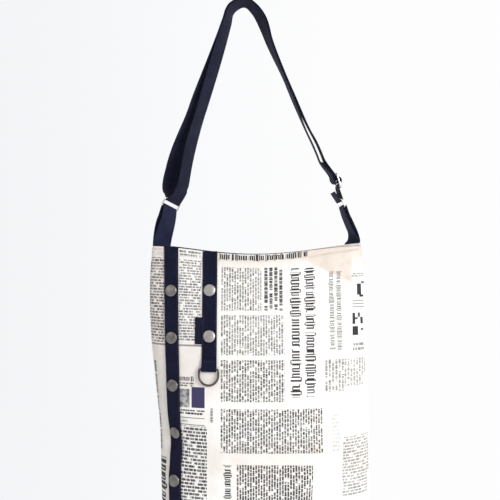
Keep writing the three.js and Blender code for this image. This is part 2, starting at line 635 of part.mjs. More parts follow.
// The slider stands on the right run, with its face away from the inside of the arch.
const sliderUp = new THREE.Vector3(
  -Math.sin(THREE.MathUtils.degToRad(SLIDER_LEAN)),
  0,
  Math.cos(THREE.MathUtils.degToRad(SLIDER_LEAN)),
);
const sliderWebbing = webbingFrame(sliderUp, SLIDER_TURN);
const slider = {
  origin: slidersMiddle,
  across: sliderWebbing.across,
  up: sliderUp,
  face: sliderWebbing.face.clone().negate(),
};
const rightBar = slidersMiddle.clone().add(new THREE.Vector3(3.5, 0, -RIGHT_RING_BELOW_SLIDER));
const rightRingDown = new THREE.Vector3(
  Math.sin(THREE.MathUtils.degToRad(RIGHT_RING_LEAN)),
  0,
  -Math.cos(THREE.MathUtils.degToRad(RIGHT_RING_LEAN)),
);
const rightWebbing = webbingFrame(rightRingDown.clone().negate(), RIGHT_RING_TURN);
const rightRing = {
  origin: rightBar,
  across: rightWebbing.across,
  up: rightRingDown.clone().negate(),
  face: rightWebbing.face.clone().negate(),
};

// Stations through points given in a frame as [up, face], with the width along the frame's across.
function frameStations(frame, points) {
  const placed = points.map(([up, face]) => inFrame(frame, 0, up, face));
  return placed.map((point, i) => {
    const before = placed[Math.max(i - 1, 0)];
    const after = placed[Math.min(i + 1, placed.length - 1)];
    const along = after.clone().sub(before).normalize();
    return { point, across: frame.across, face: along.clone().cross(frame.across).normalize() };
  });
}

// Faces of neighbouring stations look the same way along the whole path.
function alignFaces(stations) {
  const aligned = [stations[0]];
  for (let i = 1; i < stations.length; i++) {
    const last = aligned[i - 1];
    const before = stations[Math.max(i - 1, 0)].point;
    const after = stations[Math.min(i + 1, stations.length - 1)].point;
    const along = after.clone().sub(before).normalize();
    const across = stations[i].across.clone();
    if (across.dot(last.across) < 0) across.negate();
    across.addScaledVector(along, -across.dot(along)).normalize();
    const face = along.clone().cross(across).normalize();
    aligned.push({ point: stations[i].point, across, face });
  }
  const first = stations[1].point.clone().sub(stations[0].point).normalize();
  aligned[0] = { ...stations[0], face: first.cross(stations[0].across).normalize() };
  return aligned;
}

const BAR_PITCH = SLIDER_SLOT + RING_WIRE;
const NEAR = WRAP_RADIUS; // webbing lying on a bar
const OVER = WRAP_RADIUS + LAYER_PITCH; // webbing lying on webbing on a bar
const throughSlider = [
  [-BAR_PITCH, -NEAR],
  [1.9 - BAR_PITCH, 0.35 - NEAR],
  [-2.6, OVER * 0.87],
  [-0.9, OVER],
  [0.9, OVER],
  [2.6, OVER * 0.87],
  [BAR_PITCH - 1.9, 0.35 - NEAR],
  [BAR_PITCH, -NEAR],
];
const endRound = NEAR + LAYER_PITCH * 2 + 0.4;
const ontoSlider = [
  [BAR_PITCH, -endRound],
  [BAR_PITCH * 0.35, -endRound - 0.4],
  [-BAR_PITCH * 0.12, -endRound + 1.6],
  [-NEAR * 1.06, -1.6],
];
const offSlider = [
  [NEAR * 1.02, -1.1],
  [BAR_PITCH * 0.62, -NEAR - 1.25],
  [BAR_PITCH, -NEAR - LAYER_PITCH - 0.2],
];
const sliderWrap = wrapStations(slider, -90, 90, 6);

const outerLayer = archStations(-1);
const innerLayer = archStations(1).reverse();
const innerEnd = innerLayer.at(-1);
const tail = { ...innerEnd, point: innerEnd.point.clone().addScaledVector(innerEnd.face, -LAYER_PITCH) };
const leftWrap = wrapStations(leftRing, 360, 180, 6);
const ringEnd = frameStations(rightRing, [
  [RING_TAIL, -NEAR - 1.5],
  [RING_TAIL * 0.55, -NEAR - 0.7],
  [2.5, -NEAR - 0.2],
]);
const rightWrap = wrapStations(rightRing, 180, 360, 6);
const strapStations = alignFaces([
  ...ringEnd,
  ...rightWrap,
  ...frameStations(slider, throughSlider),
  ...outerLayer,
  ...leftWrap,
  ...innerLayer,
  ...frameStations(slider, ontoSlider),
  ...sliderWrap,
  ...frameStations(slider, offSlider),
  tail,
]);
addPiece("strap", webbingGeometry(strapStations, STRAP_WIDTH, STRAP_THICKNESS), materials.webbing);

// Rings and the slider.
const RING_HALF_WIDTH = (RING_INNER_WIDTH + RING_WIRE) / 2;
const RING_HALF_HEIGHT = (RING_INNER_HEIGHT + RING_WIRE) / 2;
function ringGeometry(frame) {
  const outline = roundedRectangle(RING_HALF_WIDTH, RING_HALF_HEIGHT, RING_CORNER, 3);
  const points = outline.map(([x, y]) => inFrame(frame, x, y - RING_HALF_HEIGHT));
  return wireGeometry(points, frame.face, RING_WIRE / 2);
}
addPiece("left_ring", ringGeometry(leftRing), materials.nickel);
addPiece("right_ring", ringGeometry(rightRing), materials.nickel);

function sliderGeometry() {
  const outline = roundedRectangle(RING_HALF_WIDTH, BAR_PITCH, RING_CORNER, 3);
  const loop = wireGeometry(
    outline.map(([x, y]) => inFrame(slider, x, y)),
    slider.face,
    RING_WIRE / 2,
  );
  const bar = new THREE.CylinderGeometry(RING_WIRE / 2, RING_WIRE / 2, 2 * RING_HALF_WIDTH, WIRE_SIDES);
  bar.deleteAttribute("normal");
  bar.deleteAttribute("uv");
  const basis = new THREE.Matrix4().makeBasis(slider.up, slider.across, slider.up.clone().cross(slider.across));
  bar.applyMatrix4(basis.setPosition(slider.origin));
  return { loop, bar };
}
const { loop, bar } = sliderGeometry();
const { mergeVertices } = await import("three/addons/utils/BufferGeometryUtils.js");
addPiece("slider", fromManifold(toManifold(loop).add(toManifold(mergeVertices(bar, 1e-3)))), materials.nickel);

// A tab: a loop of webbing sewn to the back panel near a corner and passed round a ring.
function tabGeometry(ring, towardsRight, swing) {
  const lowerBar = inFrame(ring, 0, -2 * RING_HALF_HEIGHT);
  const { leftEnd, rightEnd } = halfSection(false, 0);
  const inset = 2;
  const seamSide = towardsRight ? rightEnd - inset : leftEnd + inset;
  const innerSide = seamSide + (towardsRight ? -STRAP_WIDTH : STRAP_WIDTH);
  const base = (down, height) => {
    const [a, b] = [lifted(false, seamSide, down, height), lifted(false, innerSide, down, height)];
    return { point: a.clone().add(b).multiplyScalar(0.5), across: b.clone().sub(a).normalize() };
  };
  const nearSeat = TAB_SEAT + STRAP_THICKNESS / 2;
  const farSeat = nearSeat + LAYER_PITCH;
  const hand = towardsRight ? 1 : -1; // makes the first layer the one nearer to the bag
  const ringAcross = ring.across.clone();
  if (ringAcross.dot(base(0, 0).across) < 0) ringAcross.negate();
  const footMiddle = base(0, (nearSeat + farSeat) / 2);
  footMiddle.point.z += TAB_FOOT;
  const loopWidth = towardsRight ? RIGHT_TAB_LOOP : LEFT_TAB_LOOP;
  const free = (layer) =>
    TAB_ROWS.map((row) => {
      const middle = footMiddle.point.clone().lerp(lowerBar, row.rise * 0.93);
      middle.x += row.bow * (towardsRight ? RIGHT_TAB_BOW : -LEFT_TAB_BOW);
      const along = lowerBar.clone().sub(footMiddle.point).normalize();
      const across = footMiddle.across.clone().lerp(ringAcross, row[swing]).normalize();
      middle.addScaledVector(across.clone().sub(footMiddle.across), (STRAP_WIDTH / 2) * (1 - row.rise) ** 2);
      across.addScaledVector(along, -across.dot(along)).normalize();
      const face = along.clone().cross(across).normalize().multiplyScalar(hand);
      const apart = LAYER_PITCH + row.apart * loopWidth + (2 * WRAP_RADIUS - LAYER_PITCH) * row.rise ** 2;
      return { point: middle.addScaledVector(face, (layer * apart) / 2), across };
    });
  const wrapFace = ring.up.clone().cross(ringAcross).multiplyScalar(hand);
  const top = wrapStations({ origin: lowerBar, across: ringAcross, up: ring.up, face: wrapFace }, 0, 180, 6);
  return webbingGeometry(
    alignFaces([
      base(TAB_SEWN, nearSeat),
      base(TAB_SEWN * 0.5, nearSeat),
      ...free(1),
      ...top,
      ...free(-1).reverse(),
      base(TAB_SEWN * 0.5, farSeat),
      base(TAB_SEWN, farSeat),
    ]),
    STRAP_WIDTH,
    STRAP_THICKNESS,
  );
}
addPiece("left_tab", tabGeometry(leftRing, false, "left"), materials.webbing);
addPiece("right_tab", tabGeometry(rightRing, true, "right"), materials.webbing);

export default bag;
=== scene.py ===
"""The looks of a newsprint-patterned canvas shoulder bag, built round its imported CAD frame.

Lengths are millimetres until a mesh is made, and the origin is the point where the strap hangs.
-Y is the bag's front. "side" and "down" are lengths along the cloth: sideways from the bag's middle
line and down from the mouth's edge.
"""

import math

import bpy
import numpy as np
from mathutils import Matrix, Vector

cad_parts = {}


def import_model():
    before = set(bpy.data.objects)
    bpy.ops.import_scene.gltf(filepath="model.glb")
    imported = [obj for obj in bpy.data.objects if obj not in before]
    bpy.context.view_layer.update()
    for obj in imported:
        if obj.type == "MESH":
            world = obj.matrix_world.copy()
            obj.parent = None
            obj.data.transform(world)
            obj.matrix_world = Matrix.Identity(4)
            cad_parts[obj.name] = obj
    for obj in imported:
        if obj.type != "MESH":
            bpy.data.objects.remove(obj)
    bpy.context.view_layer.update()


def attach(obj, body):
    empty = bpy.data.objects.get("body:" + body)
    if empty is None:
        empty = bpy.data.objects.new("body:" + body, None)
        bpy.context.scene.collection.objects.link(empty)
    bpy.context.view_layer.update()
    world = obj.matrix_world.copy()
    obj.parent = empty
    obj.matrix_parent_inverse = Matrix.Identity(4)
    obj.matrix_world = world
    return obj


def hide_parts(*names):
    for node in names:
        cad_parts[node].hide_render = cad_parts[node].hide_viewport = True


# The same named sizes as the solids.
GAP = 0.3
BAG_WIDTH = 285.0
BAG_HEIGHT = 372.0
BAG_SHIFT = 16.8
BAG_DROP = 333.5
FRONT_DEPTH = 52.0
BACK_DEPTH = 24.0
MOUTH_SAG = 11.5
SAG_REACH = 150.0
BACK_RISE = 4.0
BOTTOM_ROUND = 30.0
TOP_BAND_HEIGHT = 12.0
TOP_BAND_TAPER = 0.7
BAND_WIDTH = 20.0
BAND_THICKNESS = 1.4
LONG_BAND_SIDE = 116.2
LONG_BAND_LEAN = 5.0
SHORT_BAND_SIDE = 62.9
SHORT_BAND_LENGTH = 162.3
SHORT_BAND_TAIL = 12.0
SNAP_DIAMETER = 16.0
SNAP_HEIGHT = 2.6
FIRST_SNAP = 59.5
SHORT_BAND_SNAPS_RISE = 3.2
SNAP_SPACING = 63.0
LABEL_WIDTH = 9.0
LABEL_HEIGHT = 36.0
LABEL_TOP = 94.0
D_RING_WIRE = 3.0
D_RING_INNER_WIDTH = 22.5
D_RING_SIDE = 8.0
STRAP_WIDTH = 25.0
STRAP_THICKNESS = 1.4
STRAP_REACH_LEFT = 99.0
STRAP_DROP_LEFT = 271.7
STRAP_REACH_RIGHT = 127.5
STRAP_DROP_RIGHT = 244.0
STRAP_SLACK = 26.0
STRAP_DEPTH = 4.0
RING_WIRE = 2.5
RING_INNER_WIDTH = 26.6
RING_CORNER = 1.9
RING_INNER_HEIGHT = 8.0
SLIDER_SLOT = 7.0
SLIDER_LEAN = 17.0
SLIDER_TURN = 3.0
LEFT_RING_LEAN = -27.0
LEFT_RING_TURN = 42.0
RIGHT_RING_BELOW_SLIDER = 26.5
RIGHT_RING_LEAN = 27.0
RIGHT_RING_TURN = 5.0
RING_TAIL = 14.0
TAB_SEWN = 18.0
TAB_SEAT = 1.8
TAB_FOOT = 0.5
LEFT_TAB_LOOP = 7.0
RIGHT_TAB_LOOP = 3.0
LEFT_TAB_BOW = 1.0
RIGHT_TAB_BOW = 2.0
ARCH_STATIONS = 42

# Sizes of the looks alone.
PANEL_THICKNESS = 1.5
LONG_BAND_LIFT = 0.5
SHORT_BAND_LIFT = 0.4
SNAP_LIFT = 0.45
STITCH_LENGTH = 2.7
STITCH_GAP = 1.1
STITCH_INSET = 1.4
STITCH_RADIUS = 0.42
STITCH_LIFT = 0.42
HEM_STITCHES_DOWN = 10.2
HEM_STITCHES_LIFT = 0.78
MESH_PITCH = 3.0

HALF_WIDTH = BAG_WIDTH / 2
BOTTOM_TURN = (BOTTOM_ROUND + FRONT_DEPTH) * 0.8
WALL_LENGTH = BAG_HEIGHT - BOTTOM_ROUND
FABRIC_LENGTH = WALL_LENGTH + BOTTOM_TURN
BOTTOM_SQUARENESS = 0.6
LAYER_PITCH = STRAP_THICKNESS + GAP
WRAP_RADIUS = RING_WIRE / 2 + GAP + STRAP_THICKNESS / 2
RING_HALF_WIDTH = (RING_INNER_WIDTH + RING_WIRE) / 2
RING_HALF_HEIGHT = (RING_INNER_HEIGHT + RING_WIRE) / 2

# down, left, right, front, back, bend, back bend
SECTIONS = np.array(
    [
        (0.0, 1.0, 1.0, 0.36, 0.62, 2.2, 2.8), (0.085, 1.024, 1.029, 0.46, 0.66, 2.3, 2.8),
        (0.218, 1.029, 1.048, 0.62, 0.76, 2.5, 2.7), (0.346, 1.014, 1.064, 0.76, 0.86, 2.5, 2.6),
        (0.47, 0.98, 1.07, 0.88, 0.94, 2.4, 2.5), (0.664, 0.93, 1.078, 0.98, 1.0, 2.3, 2.5),
        (0.843, 0.918, 1.089, 1.0, 1.0, 2.5, 2.5), (1.0, 0.905, 1.09, 0.95, 0.98, 2.6, 2.6),
    ]
)
# side, down, wide, tall, lean, out
FRONT_FOLDS = (
    (-0.86, 0.72, 0.16, 0.07, 0.0, -0.17), (0.62, 0.09, 0.1, 0.1, 1.0, -0.09),
    (0.05, 0.05, 0.4, 0.035, 0.0, 0.05), (0.42, 0.83, 0.13, 0.1, -0.9, 0.08),
    (0.1, 0.87, 0.2, 0.06, 0.0, -0.07),
)
# reach, drop, apart, outer turn, inner turn
RIGHT_ARCH = (
    (0.841, 0.899, 0.235, -2, -4.5), (0.763, 0.803, 0.23, -3.5, -5), (0.676, 0.713, 0.18, -4.5, -5),
    (0.535, 0.545, 0.1, 1, 1), (0.42, 0.404, 0.08, 1, 1), (0.275, 0.23, 0.08, 11, 11),
    (0.2, 0.117, 0.08, 22, 22),
)
ARCH_CROWN = (
    (0.15, 0.04, 0.08, 16, 16), (0.0, -0.008, 0.08, 8, 8), (-0.185, 0.034, 0.08, 15, 15),
)
LEFT_ARCH = (
    (0.245, 0.1, 0.08, 22, 22), (0.315, 0.18, 0.1, 26, 28), (0.455, 0.332, 0.25, 29, 31),
    (0.6, 0.486, 0.42, 33, 28), (0.697, 0.593, 0.48, 37, 26), (0.815, 0.712, 0.72, 46, 30),
    (0.922, 0.832, 1.05, 62, 29), (0.968, 0.925, 1.08, 56, 31), (0.96, 0.97, 0.68, 44, 38),
)
# rise, apart, left, right, bow
TAB_ROWS = (
    (0.0, 0.0, 0.0, 0.3, 0.0), (0.12, 0.3, 0.15, 0.62, 0.6), (0.28, 0.7, 0.3, 0.84, 0.95),
    (0.5, 1.0, 0.55, 0.93, 1.0), (0.72, 0.9, 0.8, 0.98, 0.7), (0.84, 0.6, 0.93, 1.0, 0.4),
)

BACKWARD = np.array([0.0, 1.0, 0.0])

# The camera's place and its lens: 676.7 pixels of focal length on a photo of 500.
CAMERA_PLACE = (0.0076, -0.930, -0.339)
FOCAL_SHARE = 676.7 / 500.0
SENSOR = 36.0
FLOOR_HEIGHT = -0.98


def vec(x, y, z):
    return np.array([x, y, z], float)


def unit(v):
    return v / np.linalg.norm(v, axis=-1, keepdims=True)


def curved(p1, p2, m1, m2, t):
    """The cubic from p1 to p2 with slopes m1 and m2, at t from 0 to 1."""
    return p1 + m1 * t + (3 * (p2 - p1) - 2 * m1 - m2) * t**2 + (2 * (p1 - p2) + m1 + m2) * t**3


def read_table(table, at):
    """Smooth value of every column of a table at a value of its first column."""
    keys = table[:, 0]
    i = int(np.clip(np.searchsorted(keys, at), 1, len(keys) - 1))
    p0, p1, p2, p3 = (table[j] for j in (max(i - 2, 0), i - 1, i, min(i + 1, len(keys) - 1)))
    span = p2[0] - p1[0]
    t = np.clip((at - p1[0]) / span, 0, 1)
    m1 = (p2 - p0) / (p2[0] - p0[0]) * span
    m2 = (p3 - p1) / (p3[0] - p1[0]) * span
    return curved(p1, p2, m1, m2, t)


CURVE = -np.cos(np.pi * np.arange(193) / 192)


def half_section(front, down):
    """Half of the bag's cross-section: x, y, t and running length from the middle line."""
    _, left, right, front_share, back_share, bend, back_bend = read_table(SECTIONS, down / BAG_HEIGHT)
    left, right = -left * HALF_WIDTH, right * HALF_WIDTH
    middle, half = (left + right) / 2, (right - left) / 2
    depth = -front_share * FRONT_DEPTH if front else back_share * BACK_DEPTH
    bend = bend if front else back_bend
    x = middle + half * CURVE
    y = depth * np.sqrt(np.maximum(0, 1 - np.abs(CURVE) ** bend))
    length = np.concatenate([[0], np.cumsum(np.hypot(np.diff(x), np.diff(y)))])
    return x, y, length - np.interp(0, x, length), middle, half


def ends(front, down):
    length = half_section(front, min(down, WALL_LENGTH))[2]
    return length[0], length[-1]


# Soft folds that the solids leave out: from (side, down) to (side, down), width and height.
SOFT_FOLDS = (
    (148, 6, 92, 70, 9, -1.6), (150, 20, 118, 96, 7, 1.5), (128, 10, 60, 46, 8, 1.2),
    (150, 60, 128, 190, 12, -1.6), (140, 150, 122, 300, 14, 1.6), (-140, 20, -96, 62, 8, -1.0),
    (-138, 215, -112, 268, 9, -2.0), (-140, 262, -106, 292, 8, 2.0), (-136, 300, -92, 330, 9, 1.6),
    (-30, 8, 70, 22, 7, 0.8), (-20, 225, -34, 330, 13, -1.2), (40, 322, 118, 258, 12, 2.2),
    (62, 340, 140, 282, 11, -2.0), (-60, 318, 20, 338, 11, -1.5), (20, 120, 52, 230, 22, 1.1),
    (96, 120, 70, 250, 20, -1.2),
)
BACK_FOLDS = (
    (-140, 10, -60, 90, 14, 1.8), (140, 10, 70, 84, 14, 1.8), (-120, 120, -96, 290, 18, -1.6),
    (110, 110, 96, 280, 18, -1.6), (-40, 60, 10, 230, 26, 1.4), (-70, 300, 60, 326, 14, 1.4),
    (30, 120, 60, 300, 20, -1.2),
)


def lattice(x, y, seed):
    """Smooth repeatable unevenness from -1 to 1, about one unit from crest to crest."""
    total = np.zeros(np.broadcast(x, y).shape)
    for k in range(5):
        angle = seed * 1.7 + k * 2.399
        reach = 1.0 + 0.37 * k
        phase = math.sin(seed * 12.9 + k * 78.2) * 43.7
        total += np.sin(reach * 2 * np.pi * (x * math.cos(angle) + y * math.sin(angle)) * 0.5 + phase)
    return total / 3.0


def softness(front, side, down):
    """Extra outward height of the cloth, in mm."""
    side, down = np.broadcast_arrays(np.asarray(side, float), np.asarray(down, float))
    out = 0.5 * lattice(side / 62, down / 80, 3 if front else 8) + 0.22 * lattice(side / 24, down / 30, 5)
    for s0, d0, s1, d1, wide, high in SOFT_FOLDS if front else BACK_FOLDS:
        dx, dy = s1 - s0, d1 - d0
        share = np.clip(((side - s0) * dx + (down - d0) * dy) / (dx * dx + dy * dy), 0, 1)
        off = np.hypot(side - s0 - share * dx, down - d0 - share * dy)
        high = high * (0.35 + 0.65 * np.sin(np.pi * np.clip(share, 0.08, 0.92)))
        out = out + high * np.exp(-((off / wide) ** 2))
    if front:
        for s, d, reach in ((-SHORT_BAND_SIDE, SHORT_BAND_LENGTH, 34), (-SHORT_BAND_SIDE, 110, 20)):
            out = out * (1 - 0.92 * np.exp(-(((side - s) ** 2 + (down - d) ** 2) / reach**2)))
    out = out * np.clip(down / 14, 0.15, 1)
    return out * np.clip((FABRIC_LENGTH - down) / 30, 0, 1)


def cloth(front, side, down, soft=True):
    """Points and outward directions of the bag's outer surface. side and down are equal in shape."""
    side, down = np.broadcast_arrays(np.asarray(side, float), np.asarray(down, float))
    points = np.empty(side.shape + (3,))
    normals = np.empty(side.shape + (3,))
    flat_side, flat_down = side.ravel(), down.ravel()
    fp, fn = points.reshape(-1, 3), normals.reshape(-1, 3)
    for value in np.unique(flat_down):
        rows = flat_down == value
        fp[rows], fn[rows] = cloth_row(front, flat_side[rows], value, soft)
    return points, normals


def cloth_row(front, side, down, soft):
    wall_down = min(down, WALL_LENGTH)
    sx, sy, length, middle, half = half_section(front, wall_down)
    side = np.clip(side, length[0], length[-1])
    x, y, t = (np.interp(side, length, a) for a in (sx, sy, CURVE))
    probe = 0.8
    a, b = np.clip(side - probe, length[0], length[-1]), np.clip(side + probe, length[0], length[-1])
    along = unit(np.stack([np.interp(b, length, v) - np.interp(a, length, v) for v in (sx, sy)], -1))
    facing = 1 if front else -1
    turned = np.clip((down - WALL_LENGTH) / BOTTOM_TURN, 0, 1) * math.pi / 2
    c, s = max(0.0, math.cos(turned)), math.sin(turned)
    narrowing = 1 - (1 - c) * BOTTOM_ROUND / half
    out = np.zeros_like(side)
    for fold_side, fold_down, wide, tall, lean, high in FRONT_FOLDS if front else ():
        dy = (down / BAG_HEIGHT - fold_down) / tall
        dx = (side / HALF_WIDTH - fold_side - lean * dy * tall) / wide
        out += high * FRONT_DEPTH * np.exp(-dx * dx - dy * dy)
    edge = 1 - np.abs(t) ** 8
    normal = np.stack([facing * along[:, 1] * c, -facing * along[:, 0] * c, np.full_like(side, -s)], -1)
    normal = unit(normal + 1e-12)
    fade = max(0.0, 1 - wall_down / SAG_REACH)
    sag = np.maximum(0, 1 - (t + 0.03) ** 2) ** 2 * fade**2
    rise = 0.0 if front else BACK_RISE * np.maximum(0, t) ** 3 * fade
    point = np.stack(
        [
            BAG_SHIFT + middle + (x - middle) * narrowing,
            y * c**BOTTOM_SQUARENESS,
            rise - BAG_DROP - wall_down - MOUTH_SAG * sag - BOTTOM_ROUND * s,
        ],
        -1,
    )
    point += normal * (out * edge * c)[:, None]
    if soft:
        point += normal * (softness(front, side, down) * edge)[:, None]
    keep_half(point, front)
    return point, normal


def keep_half(point, front):
    """The points, kept on the front's or the back's side of the gap between the two panels."""
    point[..., 1] = np.minimum(point[..., 1], -GAP / 2) if front else np.maximum(point[..., 1], GAP / 2)
    return point


def lifted(front, side, down, height, soft=True):
    point, normal = cloth(front, side, down, soft)
    height = np.asarray(height, float)
    return keep_half(point + normal * (height[..., None] if height.ndim else height), front)


def surface_frame(side, down, height, soft=True):
    """A frame on the front: origin, across to the right, up and face outwards."""
    probe = 4.0
    at = lambda s, d: lifted(True, np.array([s]), np.array([d]), 0.0, soft)[0]
    across = unit(at(side + probe, down) - at(side - probe, down))
    up = at(side, down - probe) - at(side, down + probe)
    face = unit(np.cross(across, up))
    return at(side, down) + face * height, across, unit(np.cross(face, across)), face


def in_frame(frame, across, up, face=0.0):
    origin, a, u, f = frame
    across, up, face = (np.asarray(v, float)[..., None] for v in (across, up, face))
    return origin + across * a + up * u + face * f


# Meshes.


def new_object(name, data):
    obj = bpy.data.objects.new(name, data)
    bpy.context.scene.collection.objects.link(obj)
    return obj


def make_piece(name, points, faces, material, body="bag", replaced=(), slot=None, uv=None):
    """A piece of the looks. One that replaces a CAD node of the same name gets _dressed after it."""
    if name in replaced:
        name += "_dressed"
    mesh = bpy.data.meshes.new(name)
    faces = [tuple(int(i) for i in f) for f in outward(points, faces)]
    mesh.from_pydata((np.asarray(points, float) * 0.001).tolist(), [], faces)
    mesh.validate()
    if uv is not None:
        layer = mesh.uv_layers.new(name="fabric")
        loops = np.empty(len(mesh.loops), dtype=np.int32)
        mesh.loops.foreach_get("vertex_index", loops)
        layer.data.foreach_set("uv", (np.reshape(uv, (-1, 2)) * 0.001)[loops].ravel().astype(np.float32))
    for polygon in mesh.polygons:
        polygon.use_smooth = True
    mesh.materials.append(material)
    obj = new_object(name, mesh)
    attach(obj, body)
    if replaced:
        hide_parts(*replaced)
    return obj


def outward(points, faces):
    """The faces, all turned round if they enclose a negative volume."""
    fans = np.array([(f[0], f[k], f[k + 1]) for f in faces for k in range(1, len(f) - 1)])
    a, b, c = (np.asarray(points, float)[fans[:, k]] for k in range(3))
    return [f[::-1] for f in faces] if (a * np.cross(b, c)).sum() < 0 else faces


def tube_grid(rings, closed_along=False):
    """Points and faces over rings of points: rings[i][k], closed round k."""
    rings = np.asarray(rings, float)
    count, around = rings.shape[:2]
    grid = np.arange(count * around).reshape(count, around)
    faces = []
    for i in range(count if closed_along else count - 1):
        a, b = grid[i], grid[(i + 1) % count]
        faces += zip(a, b, np.roll(b, -1), np.roll(a, -1))
    if not closed_along:
        faces += [tuple(grid[0]), tuple(grid[-1][::-1])]
    return rings.reshape(-1, 3), faces


def make_tube(name, rings, material, closed_along=False, **settings):
    points, faces = tube_grid(rings, closed_along)
    return make_piece(name, points, faces, material, **settings)


def shell_grid(outer, inner):
    """A closed sheet between two grids. The outer grid's faces come first."""
    grid = np.arange(outer[..., 0].size).reshape(outer.shape[:2])
    sheet = np.stack([grid[:-1, :-1], grid[1:, :-1], grid[1:, 1:], grid[:-1, 1:]], -1).reshape(-1, 4)
    rim = np.concatenate([grid[0, :-1], grid[:-1, -1], grid[-1, :0:-1], grid[:0:-1, 0]])
    after = np.roll(rim, -1)
    edges = np.stack([rim, after, after + grid.size, rim + grid.size], -1)
    points = np.concatenate([outer.reshape(-1, 3), inner.reshape(-1, 3)])
    return points, np.concatenate([sheet, sheet[:, ::-1] + grid.size, edges])


def mirrored(half):
    """An outline's left half with its right half added. The last point lies on the middle line."""
    return half + [(-x, y) for x, y in reversed(half[:-1])]


def pairs(a, b):
    """The two values together, for each place of the grid that they span."""
    return np.stack(np.broadcast_arrays(a, b), -1)


def circle(sides, turned=0.0):
    """The cosines and the sines of directions all round."""
    angle = 2 * np.pi * (np.arange(sides) + turned) / sides
    return np.cos(angle), np.sin(angle)


def run_length(points):
    return np.concatenate([[0], np.cumsum(np.linalg.norm(np.diff(points, axis=0), axis=1))])


# Materials.


class Value:
    """A value among the nodes, for sums and products."""

    def __init__(self, nodes, socket):
        self.nodes = nodes
        self.socket = socket

    def __add__(self, other):
        return self.nodes.math("ADD", self, other)

    def __sub__(self, other):
        return self.nodes.math("SUBTRACT", self, other)

    def __rsub__(self, other):
        return self.nodes.math("SUBTRACT", other, self)

    def __mul__(self, other):
        return self.nodes.math("MULTIPLY", self, other)

    def __abs__(self):
        return self.nodes.math("ABSOLUTE", self)


class Nodes:
    """Short ways to wire the nodes of a material or a world."""

    def __init__(self, block):
        block.use_nodes = True
        self.block = block
        self.tree = block.node_tree

    def add(self, kind, **settings):
        node = self.tree.nodes.new(kind)
        for key, value in settings.items():
            setattr(node, key, value)
        return node

    def put(self, socket, value):
        if isinstance(value, Value):
            self.tree.links.new(value.socket, socket)
        elif isinstance(value, tuple):
            socket.default_value = (*value, 1)
        else:
            socket.default_value = value

    def fill(self, node, values, output=0, first=0):
        """Puts values into a node's sockets from the first one on, and gives one of its outputs."""
        for socket, value in zip(node.inputs[first:], values):
            self.put(socket, value)
        return Value(self, node.outputs[output])

    def feed(self, node, **values):
        """Puts values into a node's named sockets."""
        for key, value in values.items():
            self.put(node.inputs[key.replace("_", " ")], value)
        return node

    def math(self, operation, *values):
        return self.fill(self.add("ShaderNodeMath", operation=operation), values)

    def ramp(self, value, low, high, out_low=0.0, out_high=1.0):
        node = self.add("ShaderNodeMapRange", interpolation_type="SMOOTHSTEP")
        return self.fill(node, (value, low, high, out_low, out_high))

    def mix(self, share, a, b):
        node = self.add("ShaderNodeMix", data_type="RGBA")
        self.put(node.inputs[0], share)
        return self.fill(node, (a, b), 2, 6)

    def parts(self, node, output=0):
        """The three parts of a node's vector."""
        split = self.add("ShaderNodeSeparateXYZ")
        self.tree.links.new(node.outputs[output], split.inputs[0])
        return [Value(self, socket) for socket in split.outputs]

    def uv(self, layer):
        """The layer's two coordinates, in mm."""
        x, y, _ = self.parts(self.add("ShaderNodeUVMap", uv_map=layer))
        return x * 1000.0, y * 1000.0

    def join(self, *values):
        return self.fill(self.add("ShaderNodeCombineXYZ"), values)

    def noise(self, vector, scale, detail=2.0, roughness=0.5):
        node = self.add("ShaderNodeTexNoise")
        self.feed(node, Vector=vector, Scale=scale, Detail=detail, Roughness=roughness)
        return Value(self, node.outputs[0])

    def object_point(self):
        return Value(self, self.add("ShaderNodeTexCoord").outputs["Object"])

    def finished(self, height, strength, distance, **values):
        """The material, with a bumpy surface and the shader's values."""
        bump = self.feed(self.add("ShaderNodeBump"), Height=height, Strength=strength, Distance=distance)
        self.feed(self.shader, Normal=Value(self, bump.outputs[0]), **values)
        return self.block


def new_material(name):
    """The nodes of a new material with one shader."""
    n = Nodes(bpy.data.materials.new(name))
    n.tree.nodes.clear()
    output = n.add("ShaderNodeOutputMaterial")
    n.shader = n.add("ShaderNodeBsdfPrincipled")
    n.tree.links.new(n.shader.outputs[0], output.inputs[0])
    return n


def stripes(n, coordinate, period):
    """A rounded ridge pattern from 0 to 1 along a coordinate in mm."""
    return n.math("SINE", coordinate * (2 * math.pi / period)) * 0.5 + 0.5


def webbing_material(name, color, worn, rib=1.05):
    n = new_material(name)
    across, along = n.uv("fabric")
    ribs = stripes(n, along, rib)
    cords = stripes(n, along * 0.5 + across, 1.3)
    weave = cords * 0.45 + ribs * 0.55
    base = n.mix(n.ramp(n.noise(n.object_point(), 60.0, 3.0), 0.3, 0.75), color, worn)
    # painted shade: the weave's grooves darkened towards near-black
    base = n.mix((1.0 - weave) * 0.35, base, (0.004, 0.004, 0.009))
    rough = n.ramp(weave, 0.0, 1.0, 0.85, 0.65)
    sheen = {"Sheen_Weight": 0.03, "Sheen_Roughness": 0.5, "Specular_IOR_Level": 0.08}
    return n.finished(weave, 0.55, 0.00035, Base_Color=base, Roughness=rough, **sheen)


def metal_material(name, color, dark, roughness, wear):
    n = new_material(name)
    point = n.object_point()
    cloudy = n.noise(point, 140.0, 4.0, 0.6)
    fine = n.noise(point, 1600.0, 2.0)
    rough = n.ramp(cloudy, 0.3, 0.75, roughness, roughness + wear)
    color = n.mix(n.ramp(cloudy, 0.35, 0.7), color, dark)
    return n.finished(fine * 0.4 + cloudy, 0.08, 0.0002, Base_Color=color, Metallic=1.0, Roughness=rough)


